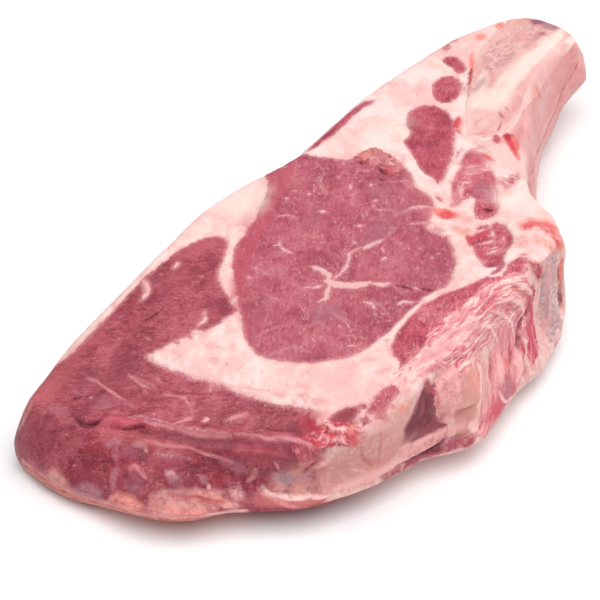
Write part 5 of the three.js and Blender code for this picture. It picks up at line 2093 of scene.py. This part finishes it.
@dataclass
class Bones:
    """The sawn bones, the cartilage knob and the skin on the bone's flank."""

    slice: Slice
    feather: Bone = Bone("sawn bone")
    chine: Bone = Bone("porous bone", "ecc8c6", "deadad", "a07880")
    knob: Skin = Skin("cartilage", "f0bfb2", "dc9488", 0, 0.8)
    flank: Skin = Skin("flank skin", "eba7a4", "df9491", 22, 0.16)

    def build(self) -> None:
        """Cuts and dresses each bone and its skin."""
        for node, name, slot, material in (
            ("feather_bone", "sawn_rib", "bone", bone_material(self.feather)),
            ("chine_bone", "sawn_chine", "bone", bone_material(self.chine)),
            ("cartilage_knob", "knob_gristle", "cartilage", skin_material(self.knob)),
            ("flank_membrane", "flank_skin", "membrane", skin_material(self.flank)),
        ):
            piece = self.slice.cut(name, [self.slice.cutter(node)], True)
            if node == "chine_bone":
                flood(piece, "pore", 0.8)
            settle(piece, node, material)


@dataclass
class FatBody:
    """The fat that fills what the other pieces leave, and the lip of fat under the tail."""

    slice: Slice
    body: Fat = Fat("white fat")
    lip: Fat = Fat("lip fat", "e0978a", "ce766f", "df9085", "c2645f", (0.3, 0.3, 1.0))

    def build(self) -> None:
        """Cuts and dresses the fat."""
        lip = self.slice.cut("lip_fat", [self.slice.cutter("edge_fat")], True)
        settle(lip, "edge_fat", fat_material(self.lip))
        piece = self.slice.cut("fat_between", list(self.slice.copies.values()), False)
        settle(piece, "fat_body", fat_material(self.body))


@dataclass
class Studio:
    """Table, light and camera."""

    table: float = 6.0
    view: View = View()
    sky: float = 0.22

    def build(self) -> None:
        """Builds the table, the lights and the camera."""
        self.lay_table()
        self.light()
        self.place_camera()

    def lay_table(self) -> None:
        """Lays a plain pale table top."""
        bpy.ops.object.select_all(action="DESELECT")
        bpy.ops.mesh.primitive_plane_add(size=self.table, location=(0, 0, -0.0003))
        table = bpy.context.view_layer.objects.active
        table.name = "table_top"
        sheet = Sheet("pale table")
        tone = sheet.step(sheet.noise(60, 2), 0.3, 0.7)
        colour = sheet.blend(tone, (0.93, 0.93, 0.93, 1), (0.95, 0.945, 0.945, 1))
        sheet.shader.inputs["Specular IOR Level"].default_value = 0.1
        sheet.finish(colour, 0.8, tone, 0.01, 0.02)
        table.data.materials.append(sheet.material)

    def light(self) -> None:
        """Hangs a large soft box over the table and stands two small ones beside it, in a pale room."""
        world = bpy.data.worlds.new("pale room")
        bpy.context.scene.world = world
        world.use_nodes = True
        world.node_tree.nodes["Background"].inputs["Color"].default_value = (1, 1, 1, 1)
        world.node_tree.nodes["Background"].inputs["Strength"].default_value = self.sky
        for name, place, size, power in (
            ("upper light", (-0.20, -0.15, 1.20), 1.4, 18.5),
            ("end light", (1.15, 0.0, 0.61), 0.9, 4.5),
            ("near light", (0.81, -0.81, 0.61), 0.9, 2.0),
        ):
            data = bpy.data.lights.new(name, "AREA")
            data.shape = "SQUARE"
            data.size = size
            data.energy = power
            lamp = linked(name, data)
            lamp.location = place
            lamp.rotation_euler = (-Vector(place)).to_track_quat("-Z", "Y").to_euler()

    def place_camera(self) -> None:
        """Puts the camera at the picture's angle."""
        data = bpy.data.cameras.new("camera")
        data.lens = self.view.lens
        data.sensor_width = self.view.sensor
        data.clip_start = 0.01
        camera = linked("camera", data)
        camera.location = self.view.place
        aim = Vector(self.view.aim) - Vector(self.view.place)
        camera.rotation_euler = aim.to_track_quat("-Z", "Y").to_euler()
        bpy.context.scene.camera = camera
        bpy.context.scene.view_settings.view_transform = "Standard"


def main() -> None:
    """Builds the chop and its studio in order."""
    logging.basicConfig(level=logging.INFO, format="%(message)s", force=True)
    body = Slice()
    body.build()
    LOG.info("skin: %d corners", len(body.places))
    Muscles(body).build()
    Bones(body).build()
    FatBody(body).build()
    body.clear()
    Studio().build()


if __name__ == "__main__":
    main()
